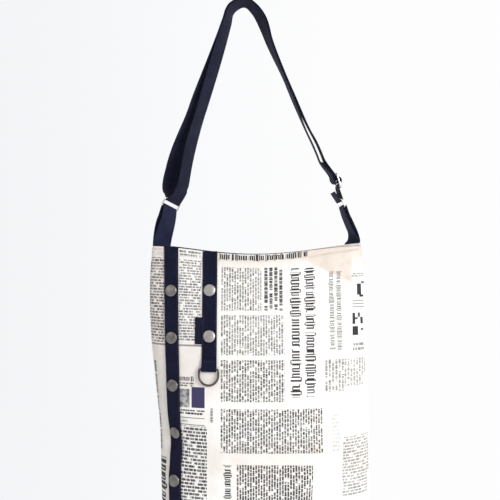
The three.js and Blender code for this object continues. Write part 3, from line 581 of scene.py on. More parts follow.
def cells(n, value, width, line, gap, randomness=1.0):
    """1 inside cells of about a width along a value, 0 in the gaps between them, different on each line."""
    node = n.add("ShaderNodeTexVoronoi", voronoi_dimensions="1D", feature="DISTANCE_TO_EDGE")
    at = line * 17.37 + n.math("DIVIDE", value, width)
    n.feed(node, W=at, Scale=1.0, Randomness=randomness)
    return n.ramp(Value(n, node.outputs["Distance"]), gap * 0.4, gap)


def per_line(n, line, seed):
    node = n.add("ShaderNodeTexWhiteNoise", noise_dimensions="1D")
    return Value(n, n.feed(node, W=line + seed).outputs[0])


# A heading's line in mm, and the length of one swing of its scribble up and down.
HEADING_PITCH = 19.5
HEADING_WAVE = 8.4


def body_print(n, run, line, high):
    """Body text: words of uneven length, made of short strokes, in the middle of each line."""
    tall = n.ramp(n.noise(n.join(run, line * 31.7), 0.55, 1.0), 0.35, 0.7) * 0.12
    clumps = n.ramp(n.noise(n.join(run, line * 17.3), 0.14, 2.0), 0.4, 0.58, 0.72, 1.0)
    lower = n.ramp(high - (0.2 - tall), -0.06, 0.06)
    upper = n.ramp(high - (tall + 0.75), -0.06, 0.06, 1.0, 0.0)
    strokes = cells(n, run, 2.1, line, 0.2) * 0.4 + 0.6
    return lower * upper * cells(n, run, 6.6, line, 0.1) * cells(n, run, 44.0, line, 0.07) * clumps * strokes


def heading_print(n, run, line, high, weight):
    """Headings: upright strokes of two heights, joined by turns at their tops and feet like a loose
    scribble, some turns missing, broken between words. A weight above 1 makes them thicker."""
    wander = n.noise(n.join(run * 0.09, line * 5.3), 1.0, 1.0)
    phase = wander * 6.0 + run * (2 * math.pi / HEADING_WAVE)
    swing = n.math("SINE", phase)
    number = line * 57.0 + n.math("FLOOR", n.math("DIVIDE", phase, math.pi))
    reach = n.ramp(per_line(n, number, 0.61), 0.68, 0.7, 4.8, 7.0)
    height = (high - 0.47) * HEADING_PITCH
    heft = n.math("MAXIMUM", weight - 1.0, 0.0) * 0.3
    upright = n.ramp(abs(swing) * (HEADING_WAVE / (2 * math.pi)) - heft, 0.85, 1.15, 1.0, 0.0)
    upright = upright * n.ramp(abs(height) - reach, 0.0, 0.5, 1.0, 0.0)
    bend = n.math("SIGN", swing) * (reach * (abs(swing) * 0.22 + 0.78))
    turn = n.ramp(abs(height - bend) - heft * 0.6, 0.5, 0.85, 1.0, 0.0)
    turn = turn * n.ramp(per_line(n, number, 0.23), 0.24, 0.26)
    return n.math("MAXIMUM", upright, turn) * cells(n, run, 34.0, line, 0.06, 0.8)


def print_material():
    """Canvas with a printed page of greeked columns, headings, rules, blocks and a mottled picture, and
    painted warm shade in its ground.
    """
    n = new_material("newsprint_canvas")
    side, down = n.uv("fabric")
    run, rows = n.uv("text")
    body_ink, heading_ink, rule_ink = n.parts(n.add("ShaderNodeAttribute", attribute_name="ink"), "Vector")
    _, picture, navy = n.parts(n.add("ShaderNodeAttribute", attribute_name="paper"), "Vector")
    line = n.math("FLOOR", rows)
    high = rows - line
    rule = n.ramp(high, 0.28, 0.32) * n.ramp(high, 0.68, 0.72, 1.0, 0.0)
    grain = n.noise(n.join(side, down), 0.16, 5.0, 0.62)
    patches = n.noise(n.join(side, down, 3.0), 0.07, 2.0)
    faded = n.ramp(n.noise(n.join(side, down, 7.0), 0.02, 2.0), 0.3, 0.7, 0.9, 1.0)

    heading = heading_print(n, run, line, high, heading_ink) * heading_ink
    amount = n.math("MAXIMUM", body_print(n, run, line, high) * body_ink, heading)
    amount = n.math("MAXIMUM", amount, rule * rule_ink) * faded * n.ramp(grain, 0.2, 0.5, 0.88, 1.0)

    # the cream tones are painted warm shade, mixed into the ground by the shade attribute
    shade_cream = n.mix(n.ramp(patches, 0.4, 0.66), (0.69, 0.61, 0.54), (0.64, 0.56, 0.49))
    white = n.mix(n.ramp(patches, 0.35, 0.7), (0.88, 0.87, 0.85), (0.865, 0.84, 0.79))
    painted_shade = Value(n, n.add("ShaderNodeAttribute", attribute_name="painted_shade").outputs["Fac"])
    ground = n.mix(painted_shade, white, shade_cream)
    greys = n.mix(n.ramp(grain, 0.38, 0.62), (0.11, 0.115, 0.14), (0.5, 0.49, 0.47))
    ground = n.mix(navy, n.mix(picture, ground, greys), (0.035, 0.03, 0.1))
    reddish = n.ramp(per_line(n, line, 0.37), 0.95, 0.96) * body_ink * 0.7
    color = n.mix(amount, ground, n.mix(reddish, (0.02, 0.02, 0.028), (0.11, 0.05, 0.045)))

    warp, weft = stripes(n, side, 0.86), stripes(n, down, 0.94)
    weave = n.math("MAXIMUM", warp * (1.0 - weft), weft * (1.0 - warp))
    slub = n.noise(n.join(side * 0.15, down), 0.8, 3.0)
    # painted shade: the weave's gaps darkened a little towards brown
    color = n.mix((1.0 - weave) * 0.07, color, (0.2, 0.17, 0.13))
    rough = n.ramp(slub, 0.3, 0.7, 0.82, 0.95)
    sheen = {"Sheen_Weight": 0.12, "Sheen_Roughness": 0.6, "Specular_IOR_Level": 0.25}
    return n.finished(slub * 0.5 + weave, 0.4, 0.0003, Base_Color=color, Roughness=rough, **sheen)


def lining_material():
    n = new_material("plain_lining")
    side, down = n.uv("fabric")
    weave = stripes(n, side, 0.9) * stripes(n, down, 0.9)
    spots = n.noise(n.object_point(), 40.0, 3.0)
    base = n.mix(n.ramp(spots, 0.3, 0.7), (0.62, 0.57, 0.47), (0.55, 0.5, 0.41))
    base = n.mix(weave * 0.2, base, (0.4, 0.35, 0.27))
    return n.finished(weave, 0.35, 0.0003, Base_Color=base, Roughness=0.92)


def thread_material(name, color):
    n = new_material(name)
    twist = n.noise(n.object_point(), 2500.0, 1.0)
    base = n.mix(n.ramp(twist, 0.35, 0.65), color, tuple(0.55 * v for v in color))
    return n.finished(twist, 0.3, 0.0001, Base_Color=base, Roughness=0.65)


# The printed page: boxes in side and down, in mm. A kind is text across (rows stacked down the
# cloth), text down the cloth (rows stacked sideways), a heading, a rule or a block. pitch is the
# distance between rows.
PAGE = (
    # kind, side from, side to, down from, down to, pitch, strength
    ("across", -170, -127, 15, 130, 3.9, 1.05), ("across", -105, -74, 15, 126, 3.75, 0.95),
    ("rule", -170, -72, 129, 135, 6.0, 0.7), ("bold", -150, -141, 153, 222, 9.0, 1.1),
    ("bold", -147, -138, 222, 276, 9.0, 1.1), ("down", -48, 6, 21, 84, 3.46, 0.95),
    ("down", -48, 36, 90, 144, 3.46, 0.95), ("down", -48, 36, 150, 204, 3.46, 1.1),
    ("down", -48, 87, 213, 270, 3.46, 1.2), ("down", 9, 36, 21, 84, 6.6, 1.25),
    ("down_heading", 42, 81, 24, 198, 19.5, 1.1), ("down_heading", 96, 117, 33, 138, 10.2, 0.9),
    ("down", 90, 117, 150, 192, 4.6, 0.85), ("down", 117, 150, 150, 186, 4.6, 0.8),
    ("across", 130, 150, 36, 42, 3.0, 0.9), ("block", 138, 144, 51, 66, 1.0, 1.2),
    ("block", 144, 150, 48, 51, 1.0, 0.9), ("block", 141, 150, 66, 69, 1.0, 1.2),
    ("rules_across", 129, 150, 72, 84, 4.0, 0.7), ("block", 132, 135, 90, 105, 1.0, 1.2),
    ("block", 135, 141, 96, 99, 1.0, 1.0), ("block", 141, 144, 90, 96, 1.0, 1.0),
    ("block", 144, 150, 96, 105, 1.0, 1.2), ("block", 132, 138, 108, 120, 1.0, 1.2),
    ("block", 138, 141, 117, 123, 1.0, 1.0), ("block", 144, 147, 111, 126, 1.0, 1.0),
    ("across", 132, 150, 129, 141, 6.0, 0.9), ("across_heading", -104, -83, 171, 180, 9.0, 1.2),
    ("across", -104, -84, 181, 186, 3.0, 1.0), ("picture", -104, -90, 189, 213, 1.0, 1.0),
    ("navy", -87, -69, 186, 213, 1.0, 1.0), ("bold_across", -104, -69, 217, 223, 4.5, 1.8),
    ("rules_across", -104, -69, 225, 228, 3.0, 0.8), ("across", -104, -93, 229, 233, 4.0, 0.9),
    ("rules_across", -104, -69, 234, 237, 3.0, 0.8), ("across", -104, -66, 238, 342, 4.5, 1.35),
    ("bold", -62, -56, 210, 231, 5.0, 1.0), ("down", -27, 72, 285, 342, 3.46, 1.5),
    ("down_heading", -45, -33, 285, 330, 14.0, 1.3), ("across", 114, 160, 252, 330, 4.0, 0.8),
    ("down_heading", -150, -126, 285, 348, 27.0, 1.5), ("across", 99, 111, 222, 270, 5.0, 0.3),
    ("across", -104, -30, 354, 372, 4.6, 0.9), ("down", 84, 150, 345, 378, 5.1, 0.8),
)
# The back's page: the same kinds in a layout of its own.
BACK_PAGE = (
    ("across_heading", -120, 60, 21, 45, 24.0, 1.0), ("across", -126, -84, 54, 180, 3.8, 0.95),
    ("across", -78, -36, 54, 180, 3.8, 0.95), ("across", -30, 12, 54, 150, 3.8, 0.95),
    ("picture", -30, 12, 156, 204, 1.0, 1.0), ("rule", -126, 12, 186, 189, 6.0, 0.7),
    ("down", 24, 120, 54, 108, 3.46, 1.0), ("down", 24, 120, 114, 168, 3.46, 1.0),
    ("down_heading", 84, 123, 174, 312, 19.5, 1.0), ("down", 24, 78, 174, 234, 3.46, 1.0),
    ("down", 24, 78, 240, 312, 3.46, 1.0), ("across_heading", -126, 12, 210, 228, 18.0, 1.0),
    ("across", -126, -60, 234, 336, 3.8, 0.95), ("across", -54, 12, 234, 336, 3.8, 0.95),
    ("navy", 90, 120, 318, 336, 1.0, 1.0), ("down", -120, 120, 345, 372, 3.46, 0.95),
)
STRIP_PAGE = (
    ("bold_across", -104, -74, 1.5, 10.5, 4.5, 0.95), ("across_heading", -50, 68, 0, 12, 13.5, 1.6),
    ("across", -170, -127, 1.5, 10.5, 4.5, 0.3),
)
# Stretches of the ground with painted warm shade, darker and warmer there: side from, side to, down from,
# down to, strength.
SHADE_STRETCHES = (
    (66, 150, 0, 8, 0.9), (-48, 50, 3, 12, 0.45), (-170, -130, 0, 372, 0.5), (-105, -66, 138, 190, 0.35),
    (-60, 170, 268, 290, 0.3),
)


def painted_ground_shade(side, down):
    """How much painted warm shade the ground gets, from 0 to 1: a diagonal fold's shade below the hem at the
    right, and each shaded stretch, fading out round it.
    """
    painted_shade = np.full(side.shape, 0.05)
    # painted shade of a diagonal fold below the mouth's hem at the top right
    fold_shade = (18 + 0.52 * (side - 63) - down) / 5
    for edge in ((side - 55) / 16, (136 - side) / 8):
        fold_shade = np.minimum(fold_shade, edge)
    painted_shade = np.maximum(painted_shade, np.clip(fold_shade, 0, 1) * 0.9)
    for s0, s1, d0, d1, strength in SHADE_STRETCHES:
        off = np.hypot(side - np.clip(side, s0, s1), down - np.clip(down, d0, d1))
        painted_shade = np.maximum(painted_shade, strength * np.exp(-((off / 14) ** 2)))
    return painted_shade


def page_values(page, side, down, seed):
    """For one spot of the cloth: its place in the text as a function, and its ink and paper values."""
    for number, (kind, s0, s1, d0, d1, pitch, strength) in enumerate(page):
        if s0 <= side < s1 and d0 <= down < d1:
            break
    else:
        return (lambda s, d: (s, 0.0)), (0, 0, 0), (0, 0, 0)
    start = 50.0 * number + seed
    stretch = HEADING_PITCH / pitch if "heading" in kind else 1.6 if "bold" in kind else 1.0
    if kind == "block":
        place = lambda s, d: (s, start + 0.5)
    elif kind in ("down", "down_heading", "bold"):
        place = lambda s, d: (d * stretch, start + (s - s0) / pitch)
    else:
        place = lambda s, d: (s * stretch, start + (d1 - d) / pitch)
    if kind in ("picture", "navy"):
        return place, (0, 0, 0), (0, kind == "picture", kind == "navy")
    share = 1 if "heading" in kind else 2 if kind in ("block", "rule", "rules_across") else 0
    return place, tuple(strength * (i == share) for i in range(3)), (0, 0, 0)


def print_page(obj, page, uv, seed):
    """Gives each face its place in the printed page."""
    mesh = obj.data
    coordinates = np.zeros((len(mesh.loops), 2), np.float32)
    inks, papers = np.zeros((2, len(mesh.polygons), 3), np.float32)
    for polygon in mesh.polygons:
        corners = list(polygon.vertices)
        place, inks[polygon.index], papers[polygon.index] = page_values(page, *uv[corners].mean(0), seed)
        for loop, corner in zip(polygon.loop_indices, corners):
            coordinates[loop] = place(*uv[corner])
    mesh.uv_layers.new(name="text").data.foreach_set("uv", (coordinates * 0.001).ravel())
    for name, values in (("ink", inks), ("paper", papers)):
        mesh.attributes.new(name, "FLOAT_VECTOR", "FACE").data.foreach_set("vector", values.ravel())
    # each point's painted warm shade, for the ground's colour
    painted_shade = painted_ground_shade(uv[:, 0], uv[:, 1]).astype(np.float32)
    mesh.attributes.new("painted_shade", "FLOAT", "POINT").data.foreach_set("value", painted_shade)


# Cloth pieces.


def side_columns(front, down):
    """Columns evenly spaced over the middle, and nine more out to each side seam."""
    low, high = ends(front, down)
    edge = 126.0
    left, right = np.linspace(low, -edge, 9), np.linspace(edge, high, 9)
    return np.concatenate([left[:-1], np.arange(-edge, edge + 1, MESH_PITCH), right[1:]])


def past_taper(side, down):
    share = np.clip(side / HALF_WIDTH, 0, 1) ** 2
    return down - np.minimum(down, TOP_BAND_HEIGHT) * TOP_BAND_TAPER * share


def make_panel(name, front, material, lining, page, seed):
    """Half of the bag: the print outside and the lining inside."""
    wall = np.arange(15.0, WALL_LENGTH, MESH_PITCH)
    rows = np.concatenate([[TOP_BAND_HEIGHT - 1.5, 13.5], wall, np.linspace(WALL_LENGTH, FABRIC_LENGTH, 24)])
    side = np.array([side_columns(front, d) for d in rows])
    down = np.repeat(rows[:, None], side.shape[1], 1)
    down[0] = past_taper(side[0], down[0])
    down[1] = down[0] + 0.6 * (down[2] - down[0])
    outer, normal = cloth(front, side, down)
    points, faces = shell_grid(outer, keep_half(outer - normal * PANEL_THICKNESS, front))
    uv = np.tile(pairs(side, down).reshape(-1, 2), (2, 1))
    obj = make_piece(name, points, faces, material, replaced=(name,), slot="print", uv=uv)
    print_page(obj, page, uv, seed)
    obj.data.materials.append(lining)
    for polygon in obj.data.polygons:
        polygon.material_index = int(min(polygon.vertices) >= side.size)


# The folded band's closed outline: down from the mouth's edge, and out from the cloth.
HEM_DOWN = np.array([12.0, 12.1, 11.5, 9.5, 6.0, 3.0, 1.2, 0.35, 0.0, 0.35, 1.2, 6.0, 11.5, 12.0])
HEM_OUT = np.array([-0.5, 0.25, 0.62, 0.75, 0.8, 0.75, 0.55, 0.05, -0.8, -1.7, -2.2, -2.5, -2.4, -1.8])


def make_hem(name, front, material, page, seed):
    """The folded band along the mouth, its outline run from side to side."""
    side = side_columns(front, 0)[:, None]
    wave = 0.25 * np.sin(side / 9.0) + 0.2 * np.sin(side / 4.1 + 2)
    point, normal = cloth(front, side, past_taper(side, HEM_DOWN))
    rings = keep_half(point + normal * (HEM_OUT + 0.18 * wave)[..., None], front)
    uv = pairs(side, HEM_DOWN - np.where(HEM_OUT < -0.9, 30, 0)).reshape(-1, 2)
    obj = make_tube(name, rings, material, replaced=(name,), slot="print", uv=uv)
    print_page(obj, page, uv, seed)


def make_mouth_shade_tape(material):
    """Navy tape inside the front's mouth, also put there as painted shade: a dark line in the shaded gap
    behind the edge. A sliver of it shows above the edge, less towards the right.
    """
    low, high = ends(True, 0)
    side = np.linspace(low + 24, high - 14, 110)[:, None]
    rise = 1.5 * (1 - 0.85 * np.clip((side + 110) / 250, 0, 1))
    rise = rise * np.clip(np.minimum(side - side[0], side[-1] - side) / 6, 0, 1)
    point, normal = cloth(True, side, np.array([6.0, 0.0, 0.0, 6.0]))
    point += normal * np.array([-3.5, -2.9, -2.2, -2.75])[:, None]
    point[:, 1:3, 2] += rise
    uv = pairs(np.array([-6, 0, 0.5, 6]), side)
    make_tube("mouth_shade_tape", keep_half(point, True), material, slot="webbing", uv=uv)


def curve_point(rows, share):
    """A row of the smooth curve through rows, at a share of its way. The first three columns are a point."""
    at = share * (len(rows) - 1)
    i = min(int(at), len(rows) - 2)
    t = at - i
    p1, p2 = rows[i], rows[i + 1]
    p0 = rows[i - 1] if i > 0 else 2 * p1 - p2
    p3 = rows[i + 2] if i + 2 < len(rows) else 2 * p2 - p1
    d0, d1, d2 = (max(np.linalg.norm((b - a)[:3]), 1e-6) ** 0.5 for a, b in ((p0, p1), (p1, p2), (p2, p3)))
    m1 = ((p1 - p0) / d0 - (p2 - p0) / (d0 + d1) + (p2 - p1) / d1) * d1
    m2 = ((p2 - p1) / d1 - (p3 - p1) / (d1 + d2) + (p3 - p2) / d2) * d1
    return curved(p1, p2, m1, m2, t)


def make_webbing(name, stations, material, width=STRAP_WIDTH):
    """Webbing with rounded selvages, on a smooth curve through stations of a point and a sideways vector."""
    rows = np.array([np.concatenate(s) for s in stations])
    count = 4 * (len(rows) - 1)
    curve = np.array([curve_point(rows, k / count) for k in range(count + 1)])
    points, across = curve[:, :3], unit(curve[:, 3:6])
    along = unit(np.gradient(points, axis=0))
    across = unit(across - along * (across * along).sum(-1, keepdims=True))
    half, t = width / 2, STRAP_THICKNESS / 2
    upper = [(-half, 0.0), (-half + 0.22, 0.7 * t), (-half + 0.7, t), (-half * 0.8, 0.92 * t)]
    upper = mirrored(upper + [(-half * 0.4, 0.97 * t), (0, t)])
    section = np.array(upper + [(-x, -y) for x, y in upper[1:-1]])
    x, y = section.T[:, None, :, None]
    rings = points[:, None] + x * across[:, None] + y * np.cross(across, along)[:, None]
    uv = pairs(section[:, 0], run_length(points)[:, None])
    make_tube(name, rings, material, replaced=(name,), slot="webbing", uv=uv)


def long_band_side(down):
    return -LONG_BAND_SIDE + LONG_BAND_LEAN * down / WALL_LENGTH


BAND_LOW = GAP
BAND_HIGH = GAP + BAND_THICKNESS
D_BAR = D_RING_WIRE / 2
FOLD_RADIUS = D_BAR + GAP * 1.5 + BAND_THICKNESS / 2
BAND_MIDDLE = GAP + BAND_THICKNESS / 2
D_BAR_HEIGHT = BAND_MIDDLE + FOLD_RADIUS + GAP
SHORT_BAND_END = SHORT_BAND_LENGTH - SHORT_BAND_TAIL


def make_long_band(material):
    """A band that lies on the cloth and runs on round the bottom's turn."""
    end = WALL_LENGTH + 0.55 * BOTTOM_TURN
    down = np.concatenate([[-0.9, -0.5], np.arange(0.3, end, MESH_PITCH), [end]])[:, None]
    low, high = BAND_LOW + LONG_BAND_LIFT, BAND_HIGH + LONG_BAND_LIFT
    half, mid, t = BAND_WIDTH / 2, (low + high) / 2, (high - low) / 2
    top = [(-half, mid), (-half + 0.25, mid + 0.7 * t), (-half + 0.8, high)]
    top += [(-half * 0.55, high - 0.05), (0, high)]
    across, lift = np.array(mirrored(top) + [(half * 0.97, low), (0, low), (-half * 0.97, low)]).T
    rings = lifted(True, long_band_side(down) + across, down, lift)
    uv = pairs(across * 1.25, down)
    make_tube("long_band", rings, material, replaced=("long_band",), slot="webbing", uv=uv)


def make_short_band(material, bar):
    """Down the cloth, round the D-ring's bar and back up on itself."""

    def laid(down, height):
        side = np.array([-SHORT_BAND_SIDE, 5 - SHORT_BAND_SIDE])
        point, edge = lifted(True, side, down, height + SHORT_BAND_LIFT)
        return point, unit(edge - point)

    rows = np.concatenate([[-0.9], np.arange(0.3, SHORT_BAND_END, 9.0), [SHORT_BAND_END]])
    stations = [laid(down, BAND_MIDDLE) for down in rows]
    for degrees in range(-90, 91, 30):
        angle = math.radians(degrees)
        point = in_frame(bar, 0, -FOLD_RADIUS * math.cos(angle), FOLD_RADIUS * math.sin(angle))
        stations.append((point, bar[1]))
    tail = BAND_HIGH + GAP + BAND_THICKNESS / 2
    stations += [laid(SHORT_BAND_END + 4, tail), laid(SHORT_BAND_END - 1.5, tail)]
    make_webbing("short_band", stations, material, BAND_WIDTH)


def make_label(material):
    left = -SHORT_BAND_SIDE - BAND_WIDTH / 2 - GAP - LABEL_WIDTH
    side = np.linspace(left, left + LABEL_WIDTH, 7)
    s, d = np.meshgrid(side, np.linspace(LABEL_TOP, LABEL_TOP + LABEL_HEIGHT, 15))
    curl = 0.5 * (1 - (s - left) / LABEL_WIDTH) ** 2
    edge = np.minimum(s - left, np.minimum(d - LABEL_TOP, LABEL_TOP + LABEL_HEIGHT - d)).clip(0, 0.6) / 0.6
    outer = lifted(True, s, d, 0.8 + curl + 0.35 * np.sqrt(edge))
    points, faces = shell_grid(outer, lifted(True, s, d, 0.55 + curl))
    uv = np.tile(pairs(s, d).reshape(-1, 2), (2, 1))
    make_piece("side_label", points, faces, material, replaced=("side_label",), slot="webbing", uv=uv)


# Metal pieces.


def make_wire(name, outline, frame, radius, material, body, slot, sides=14):
    """A closed loop of round wire in a frame's plane."""
    points = in_frame(frame, *np.array(outline).T)
    before = unit(points - np.roll(points, 1, 0))
    tangent = unit(before + np.roll(before, -1, 0))
    sideways = unit(np.cross(tangent, frame[3])) / (tangent * before).sum(-1, keepdims=True)
    x, y = (v[:, None] for v in circle(sides, 0.5))
    rings = points[:, None] + radius * (x * sideways[:, None] + y * frame[3])
    make_tube(name, rings, material, closed_along=True, body=body, replaced=(name,), slot=slot)


def rounded_rectangle(half_width, half_height, radius):
    outline = []
    for quarter, (right, up) in enumerate(((1, 1), (-1, 1), (-1, -1), (1, -1))):
        for degrees in range(90 * quarter, 90 * quarter + 91, 15):
            angle = math.radians(degrees)
            x = right * (half_width - radius) + radius * math.cos(angle)
            outline.append((x, up * (half_height - radius) + radius * math.sin(angle)))
    return outline


def d_outline():
    """The D: a straight side with small corners, and a half circle below it."""
    half = (D_RING_INNER_WIDTH + D_RING_WIRE) / 2
    corner = 2.4
    turns = np.radians([0, 22.5, 45, 67.5, 90])
    right = [(half - corner + corner * math.sin(a), -corner + corner * math.cos(a)) for a in turns]
    bow = [(half * math.cos(a), -D_RING_SIDE - half * math.sin(a)) for a in np.pi * np.arange(29) / 28]
    return right + bow + [(-x, y) for x, y in reversed(right)]


# A snap cap's outline from its foot to near its top: share of the radius, share of the height.
CAP_OUTLINE = (
    (0.86, 0.0), (0.95, 0.05), (1.0, 0.17), (1.0, 0.32), (0.985, 0.44), (0.95, 0.55), (0.9, 0.63),
    (0.82, 0.71), (0.72, 0.79), (0.6, 0.86), (0.46, 0.92), (0.32, 0.96), (0.18, 0.985), (0.08, 0.995),
)


def make_snap(name, frame, material):
    """A pressed cap: rings over its outline, and a fan of faces at its foot and at its top."""
    sides = 48
    x, y = (v * SNAP_DIAMETER / 2 for v in circle(sides))
    rings = [in_frame(frame, x * r, y * r, h * SNAP_HEIGHT) for r, h in CAP_OUTLINE]
    points, faces = tube_grid(rings)
    foot, top = len(points), len(points) + 1
    faces = faces[:-2]
    for k in range(sides):
        m = (k + 1) % sides
        faces += [(foot, k, m), (top, foot - sides + m, foot - sides + k)]
    points = np.concatenate([points, [in_frame(frame, 0, 0, 0.0), in_frame(frame, 0, 0, SNAP_HEIGHT)]])
    make_piece(name, points, faces, material, replaced=(name,), slot="aged_nickel")


# The strap.


def arch_rows():
    rows = [(r * STRAP_REACH_RIGHT, d * STRAP_DROP_RIGHT, *rest) for r, d, *rest in RIGHT_ARCH]
    rows += [(r * STRAP_REACH_LEFT, d * STRAP_DROP_LEFT, *rest) for r, d, *rest in ARCH_CROWN]
    rows += [(-r * STRAP_REACH_LEFT, d * STRAP_DROP_LEFT, *rest) for r, d, *rest in LEFT_ARCH]
    return np.array([(i, *row) for i, row in enumerate(rows)])


def webbing_frame(tangent, degrees):
    along = unit(tangent)
    inward = unit(np.cross(along, BACKWARD))
    turn = math.radians(degrees)
    across = BACKWARD * math.cos(turn) + inward * math.sin(turn)
    across = unit(across - along * np.dot(across, along))
    face = unit(np.cross(across, along))
    return across, face if np.dot(face, inward) >= 0 else -face


def arch_stations(layer):
    table = arch_rows()
    crown = STRAP_THICKNESS + GAP / 2
    points = [
        vec(reach, STRAP_DEPTH * max(0, drop) / STRAP_DROP_LEFT, crown - drop + (drop if reach == 0 else 0))
        for _, reach, drop, *_ in table
    ]
    stations = []
    for i in range(ARCH_STATIONS + 1):
        share = i / ARCH_STATIONS
        _, _, _, apart, outer, inner = read_table(table, share * (len(table) - 1))
        a, b = max(share - 1e-4, 0), min(share + 1e-4, 1)
        tangent = curve_point(points, b) - curve_point(points, a)
        across, face = webbing_frame(tangent, inner if layer > 0 else outer)
        spread = max(LAYER_PITCH, apart * STRAP_SLACK) / 2
        stations.append((curve_point(points, share) + face * layer * spread, across, face))
    return stations


def bar_frame(origin, lean, turn):
    lean = math.radians(lean)
    down = vec(math.sin(lean), 0, -math.cos(lean))
    across, _ = webbing_frame(down, turn)
    return origin, across, -down, unit(np.cross(across, down))


def right_frame(origin, lean, turn):
    lean = math.radians(lean)
    up = vec(-math.sin(lean), 0, math.cos(lean))
    across, face = webbing_frame(up, turn)
    return origin, across, up, -face


def wrap_stations(frame, start, end):
    """Webbing round a frame's bar, from a start angle to an end angle."""
    angles = np.radians(np.linspace(start, end, 9))
    points = in_frame(frame, 0, WRAP_RADIUS * np.sin(angles), WRAP_RADIUS * np.cos(angles))
    return [(point, frame[1]) for point in points]


def frame_stations(frame, points):
    return [(in_frame(frame, 0, up, face), frame[1]) for up, face in points]


def aligned(stations):
    """The same stations, with their widths all running the same way."""
    out = [stations[0][:2]]
    for point, across, *_ in stations[1:]:
        out.append((point, across if np.dot(across, out[-1][1]) >= 0 else -across))
    return out


def strap_frames():
    """The frames of the left ring, the right ring and the slider."""
    left = bar_frame(vec(-STRAP_REACH_LEFT, STRAP_DEPTH, -STRAP_DROP_LEFT), LEFT_RING_LEAN, LEFT_RING_TURN)
    middle = vec(STRAP_REACH_RIGHT, STRAP_DEPTH, -STRAP_DROP_RIGHT)
    below = middle + vec(3.5, 0, -RIGHT_RING_BELOW_SLIDER)
    right = right_frame(below, RIGHT_RING_LEAN, RIGHT_RING_TURN)
    return left, right, right_frame(middle, SLIDER_LEAN, SLIDER_TURN)


BAR_PITCH = SLIDER_SLOT + RING_WIRE


def make_strap(left, right, slider, material):
    near, over = WRAP_RADIUS, WRAP_RADIUS + LAYER_PITCH
    round_end = near + LAYER_PITCH * 2 + 0.4
    through = [
        (-BAR_PITCH, -near), (1.9 - BAR_PITCH, 0.35 - near), (-2.6, over * 0.87), (-0.9, over),
        (0.9, over), (2.6, over * 0.87), (BAR_PITCH - 1.9, 0.35 - near), (BAR_PITCH, -near),
    ]
    onto = [
        (BAR_PITCH, -round_end), (BAR_PITCH * 0.35, -round_end - 0.4),
        (-BAR_PITCH * 0.12, -round_end + 1.6), (-near * 1.06, -1.6),
    ]
    off = [(near * 1.02, -1.1), (BAR_PITCH * 0.62, -near - 1.25), (BAR_PITCH, -near - LAYER_PITCH - 0.2)]
    outer = arch_stations(-1)
    inner = arch_stations(1)[::-1]
    tail = [(inner[-1][0] - inner[-1][2] * LAYER_PITCH, inner[-1][1])]
    end = [(RING_TAIL, -near - 1.5), (RING_TAIL * 0.55, -near - 0.7), (2.5, -near - 0.2)]
    stations = (
        frame_stations(right, end)
        + wrap_stations(right, 180, 360)
        + frame_stations(slider, through)
        + outer
        + wrap_stations(left, 360, 180)
        + inner
        + frame_stations(slider, onto)
        + wrap_stations(slider, -90, 90)
        + frame_stations(slider, off)
        + tail
    )
    make_webbing("strap", aligned(stations), material)


def make_tab(name, ring, towards_right, material):
    """A loop of webbing from the back panel's corner up through the strap's ring and down again."""
    lower_bar = in_frame(ring, 0, -2 * RING_HALF_HEIGHT)
    hand = 1 if towards_right else -1
    loop, bow = (RIGHT_TAB_LOOP, RIGHT_TAB_BOW) if towards_right else (LEFT_TAB_LOOP, -LEFT_TAB_BOW)
    seam = ends(False, 0)[towards_right] - 2 * hand
    near = TAB_SEAT + STRAP_THICKNESS / 2
    far = near + LAYER_PITCH

    def base(down, height):
        a, b = lifted(False, np.array([seam, seam - STRAP_WIDTH * hand]), down, height, False)
        return (a + b) / 2, unit(b - a)

    foot, foot_across = base(0.0, (near + far) / 2)
    foot = foot + vec(0, 0, TAB_FOOT)
    along = unit(lower_bar - foot)
    ring_across = ring[1] if np.dot(ring[1], foot_across) >= 0 else -ring[1]

    def free(layer):
        stations = []
        for rise, apart, *swings, bowed in TAB_ROWS:
            middle = foot + (lower_bar - foot) * rise * 0.93
            middle[0] += bowed * bow
            swing = swings[towards_right]
            across = unit(foot_across * (1 - swing) + ring_across * swing)
            middle = middle + (across - foot_across) * STRAP_WIDTH / 2 * (1 - rise) ** 2
            across = unit(across - along * np.dot(across, along))
            face = unit(np.cross(along, across)) * hand
            width = LAYER_PITCH + apart * loop + (2 * WRAP_RADIUS - LAYER_PITCH) * rise**2
            stations.append((middle + face * layer * width / 2, across))
        return stations

    wrap = (lower_bar, ring_across, ring[2], np.cross(ring[2], ring_across) * hand)
    up = [base(TAB_SEWN, near), base(TAB_SEWN * 0.5, near)] + free(1)
    back = free(-1)[::-1] + [base(TAB_SEWN * 0.5, far), base(TAB_SEWN, far)]
    make_webbing(name, aligned(up + wrap_stations(wrap, 0, 180) + back), material)


def make_slider(slider, material):
    """A rectangular loop with a bar across its middle."""
    outline = rounded_rectangle(RING_HALF_WIDTH, BAR_PITCH, RING_CORNER)
    make_wire("slider", outline, slider, RING_WIRE / 2, material, "bag", "nickel")
    y, z = circle(14)
    near = RING_HALF_WIDTH - 1
    bar = ((-RING_HALF_WIDTH, 1.15), (-near, 1.25), (near, 1.25), (RING_HALF_WIDTH, 1.15))
    rings = [in_frame(slider, x, y * r, z * r) for x, r in bar]
    make_tube("slider_bar", rings, material, slot="nickel")


# A stitch from end to end: share of its length, share of its thickness, lift.
STITCH = ((0.0, 0.35, -0.1), (0.18, 0.9, 0.16), (0.5, 1.0, 0.24), (0.82, 0.9, 0.16), (1.0, 0.35, -0.1))


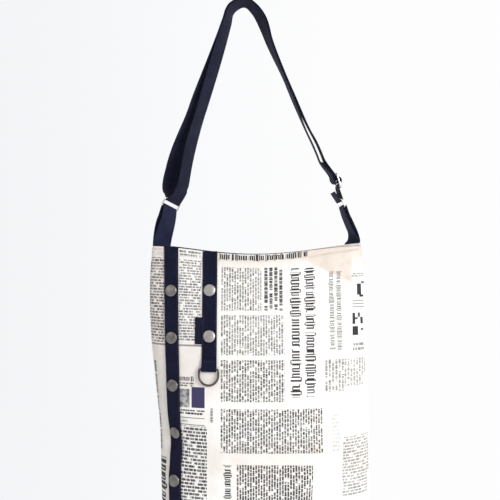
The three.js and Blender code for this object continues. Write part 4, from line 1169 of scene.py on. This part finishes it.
def make_stitches(name, front, side, down, height, material):
    """A row of small sewn stitches along a line on the cloth."""
    path, normals = cloth(front, side, down)
    path = path + normals * height
    run = run_length(path)
    at = lambda x, table: np.array([np.interp(x, run, column) for column in table.T])
    wide, high = (v * STITCH_RADIUS for v in circle(6))
    points, faces = [], []
    for i in range(int(run[-1] / (STITCH_LENGTH + STITCH_GAP))):
        start = i * (STITCH_LENGTH + STITCH_GAP) + STITCH_GAP / 2
        a, b = at(start, path), at(start + STITCH_LENGTH, path)
        normal = unit(at(start + STITCH_LENGTH / 2, normals))
        across = np.cross(normal, unit(b - a))
        rings = []
        for share, r, lift in STITCH:
            centre = a + (b - a) * share + normal * lift
            rings.append(in_frame((centre, across, normal, normal), wide * r, high * r * 0.8))
        stitch_points, stitch_faces = tube_grid(rings)
        faces += [tuple(v + len(points) for v in face) for face in stitch_faces]
        points += list(stitch_points)
    make_piece(name, points, faces, material, slot="print")


def make_all_stitches(light, dark):
    side = np.linspace(-139, 143, 95)
    for name, front in (("front_hem_stitches", True), ("back_hem_stitches", False)):
        down = past_taper(side, HEM_STITCHES_DOWN)
        make_stitches(name, front, side, down, HEM_STITCHES_LIFT, light)
    seam = BAND_WIDTH / 2 - STITCH_INSET
    bands = (
        ("long", long_band_side, WALL_LENGTH + 24, LONG_BAND_LIFT),
        ("short", lambda down: -SHORT_BAND_SIDE, SHORT_BAND_END - 3, STITCH_LIFT),
    )
    for band, middle, end, lift in bands:
        down = np.arange(2.0, end, 4.0)
        for number, offset in ((1, -seam), (2, seam)):
            name = "%s_band_stitches_%d" % (band, number)
            make_stitches(name, True, middle(down) + offset, down, BAND_HIGH + lift, dark)
    side = np.linspace(-8.4, 8.4, 9) - SHORT_BAND_SIDE
    tail = BAND_HIGH + GAP + BAND_THICKNESS + STITCH_LIFT
    make_stitches("tail_stitches", True, side, SHORT_BAND_END + 1.6, tail, dark)


def make_surroundings():
    """Plain pale surroundings: brightest behind the bag, dimmer in front of it and cooler on the left."""
    n = Nodes(bpy.data.worlds.new("surroundings"))
    x, y, _ = n.parts(n.add("ShaderNodeTexCoord"), "Generated")
    rear = n.mix(n.ramp(x, -0.45, 0.2), (0.89, 0.905, 0.93), (0.985, 0.985, 0.99))
    background = n.tree.nodes["Background"]
    n.put(background.inputs[0], n.mix(n.ramp(y, -0.3, 0.45), (0.56, 0.57, 0.6), rear))
    n.put(background.inputs[1], 1.0)
    return n.block


def make_stage():
    """The camera, the lights, the pale surroundings and the floor."""
    scene = bpy.context.scene
    camera = bpy.data.cameras.new("camera")
    camera.sensor_width = SENSOR
    camera.lens = SENSOR * FOCAL_SHARE
    camera.clip_end = 50.0
    view = new_object("camera", camera)
    view.location = CAMERA_PLACE
    view.rotation_euler = (math.radians(90), 0, 0)
    scene.camera = view
    scene.world = make_surroundings()
    scene.view_settings.view_transform = "Standard"

    def area(name, place, target, size, energy, color):
        lamp = bpy.data.lights.new(name, "AREA")
        lamp.shape = "DISK"
        lamp.size = size
        lamp.energy = energy
        lamp.color = color
        obj = new_object(name, lamp)
        obj.location = place
        obj.rotation_euler = (Vector(target) - Vector(place)).to_track_quat("-Z", "Y").to_euler()

    area("window", (1.15, -1.45, 0.1), (0.02, 0, -0.45), 0.8, 28, (1.0, 0.985, 0.96))
    area("bounce", (-1.3, -1.2, 0.4), (0, 0, -0.4), 1.2, 4, (1.0, 0.96, 0.9))
    area("behind", (0.3, 1.6, 0.5), (0, 0, -0.4), 1.4, 10, (1, 1, 1))
    floor = bpy.data.meshes.new("floor")
    corners = ((-2.5, -3.0), (2.5, -3.0), (2.5, 0.55), (-2.5, 0.55))
    floor.from_pydata([(x, y, FLOOR_HEIGHT) for x, y in corners], [], [(0, 1, 2, 3)])
    n = new_material("pale_floor")
    spots = n.noise(n.object_point(), 6.0, 2.0)
    color = n.mix(n.ramp(spots, 0.3, 0.7), (0.82, 0.82, 0.83), (0.79, 0.79, 0.8))
    n.feed(n.shader, Base_Color=color, Roughness=0.8)
    floor.materials.append(n.block)
    obj = new_object("floor", floor)


def main():
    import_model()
    make_stage()
    canvas = print_material()
    lining = lining_material()
    webbing = webbing_material("navy_webbing", (0.009, 0.011, 0.027), (0.016, 0.0185, 0.04))
    # the tabs' webbing: a lighter copy of the strap's navy, painted light where the tabs catch the light
    lit_tab_webbing = webbing_material("navy_webbing_lit", (0.013, 0.0155, 0.042), (0.021, 0.0245, 0.058))
    band = webbing_material("navy_band", (0.0055, 0.0066, 0.021), (0.0085, 0.0098, 0.031), 0.9)
    label = webbing_material("label_satin", (0.008, 0.009, 0.024), (0.012, 0.014, 0.034), 0.5)
    nickel = metal_material("bright_nickel", (0.72, 0.71, 0.69), (0.55, 0.54, 0.52), 0.15, 0.12)
    # the same snap caps in two copies of one nickel: darker on the long band as painted shade, lighter on
    # the short band as painted light
    shaded_caps = metal_material("aged_nickel", (0.27, 0.25, 0.235), (0.16, 0.15, 0.14), 0.3, 0.14)
    worn = metal_material("lit_nickel", (0.53, 0.5, 0.48), (0.38, 0.355, 0.34), 0.38, 0.14)
    bronze = metal_material("brown_nickel", (0.17, 0.13, 0.12), (0.09, 0.065, 0.06), 0.26, 0.16)

    make_panel("front_panel", True, canvas, lining, PAGE, 0.0)
    make_panel("back_panel", False, canvas, lining, BACK_PAGE, 2500.0)
    make_hem("front_top_band", True, canvas, STRIP_PAGE, 5000.0)
    make_hem("back_top_band", False, canvas, STRIP_PAGE, 7500.0)
    make_mouth_shade_tape(label)

    bar = surface_frame(-SHORT_BAND_SIDE, SHORT_BAND_LENGTH, D_BAR_HEIGHT, False)
    make_long_band(band)
    make_short_band(band, bar)
    make_label(label)
    for i in range(5):
        down = FIRST_SNAP + i * SNAP_SPACING
        frame = surface_frame(long_band_side(down), down, BAND_HIGH + SNAP_LIFT)
        make_snap("long_band_snap_%d" % (i + 1), frame, shaded_caps)
    for i in range(2):
        down = FIRST_SNAP + i * SNAP_SPACING - SHORT_BAND_SNAPS_RISE
        frame = surface_frame(-SHORT_BAND_SIDE, down, BAND_HIGH + SNAP_LIFT)
        make_snap("short_band_snap_%d" % (i + 1), frame, worn)
    make_wire("d_ring", d_outline(), bar, D_BAR, bronze, "d_ring", "aged_nickel", 18)

    left, right, slider = strap_frames()
    make_strap(left, right, slider, webbing)
    make_tab("left_tab", left, False, lit_tab_webbing)
    make_tab("right_tab", right, True, lit_tab_webbing)
    ring = rounded_rectangle(RING_HALF_WIDTH, RING_HALF_HEIGHT, RING_CORNER)
    ring = [(x, y - RING_HALF_HEIGHT) for x, y in ring]
    for name, frame in (("left_ring", left), ("right_ring", right)):
        make_wire(name, ring, frame, RING_WIRE / 2, nickel, "bag", "nickel")
    make_slider(slider, nickel)
    light = thread_material("cream_thread", (0.75, 0.7, 0.6))
    dark = thread_material("navy_thread", (0.02, 0.023, 0.05))
    make_all_stitches(light, dark)


main()
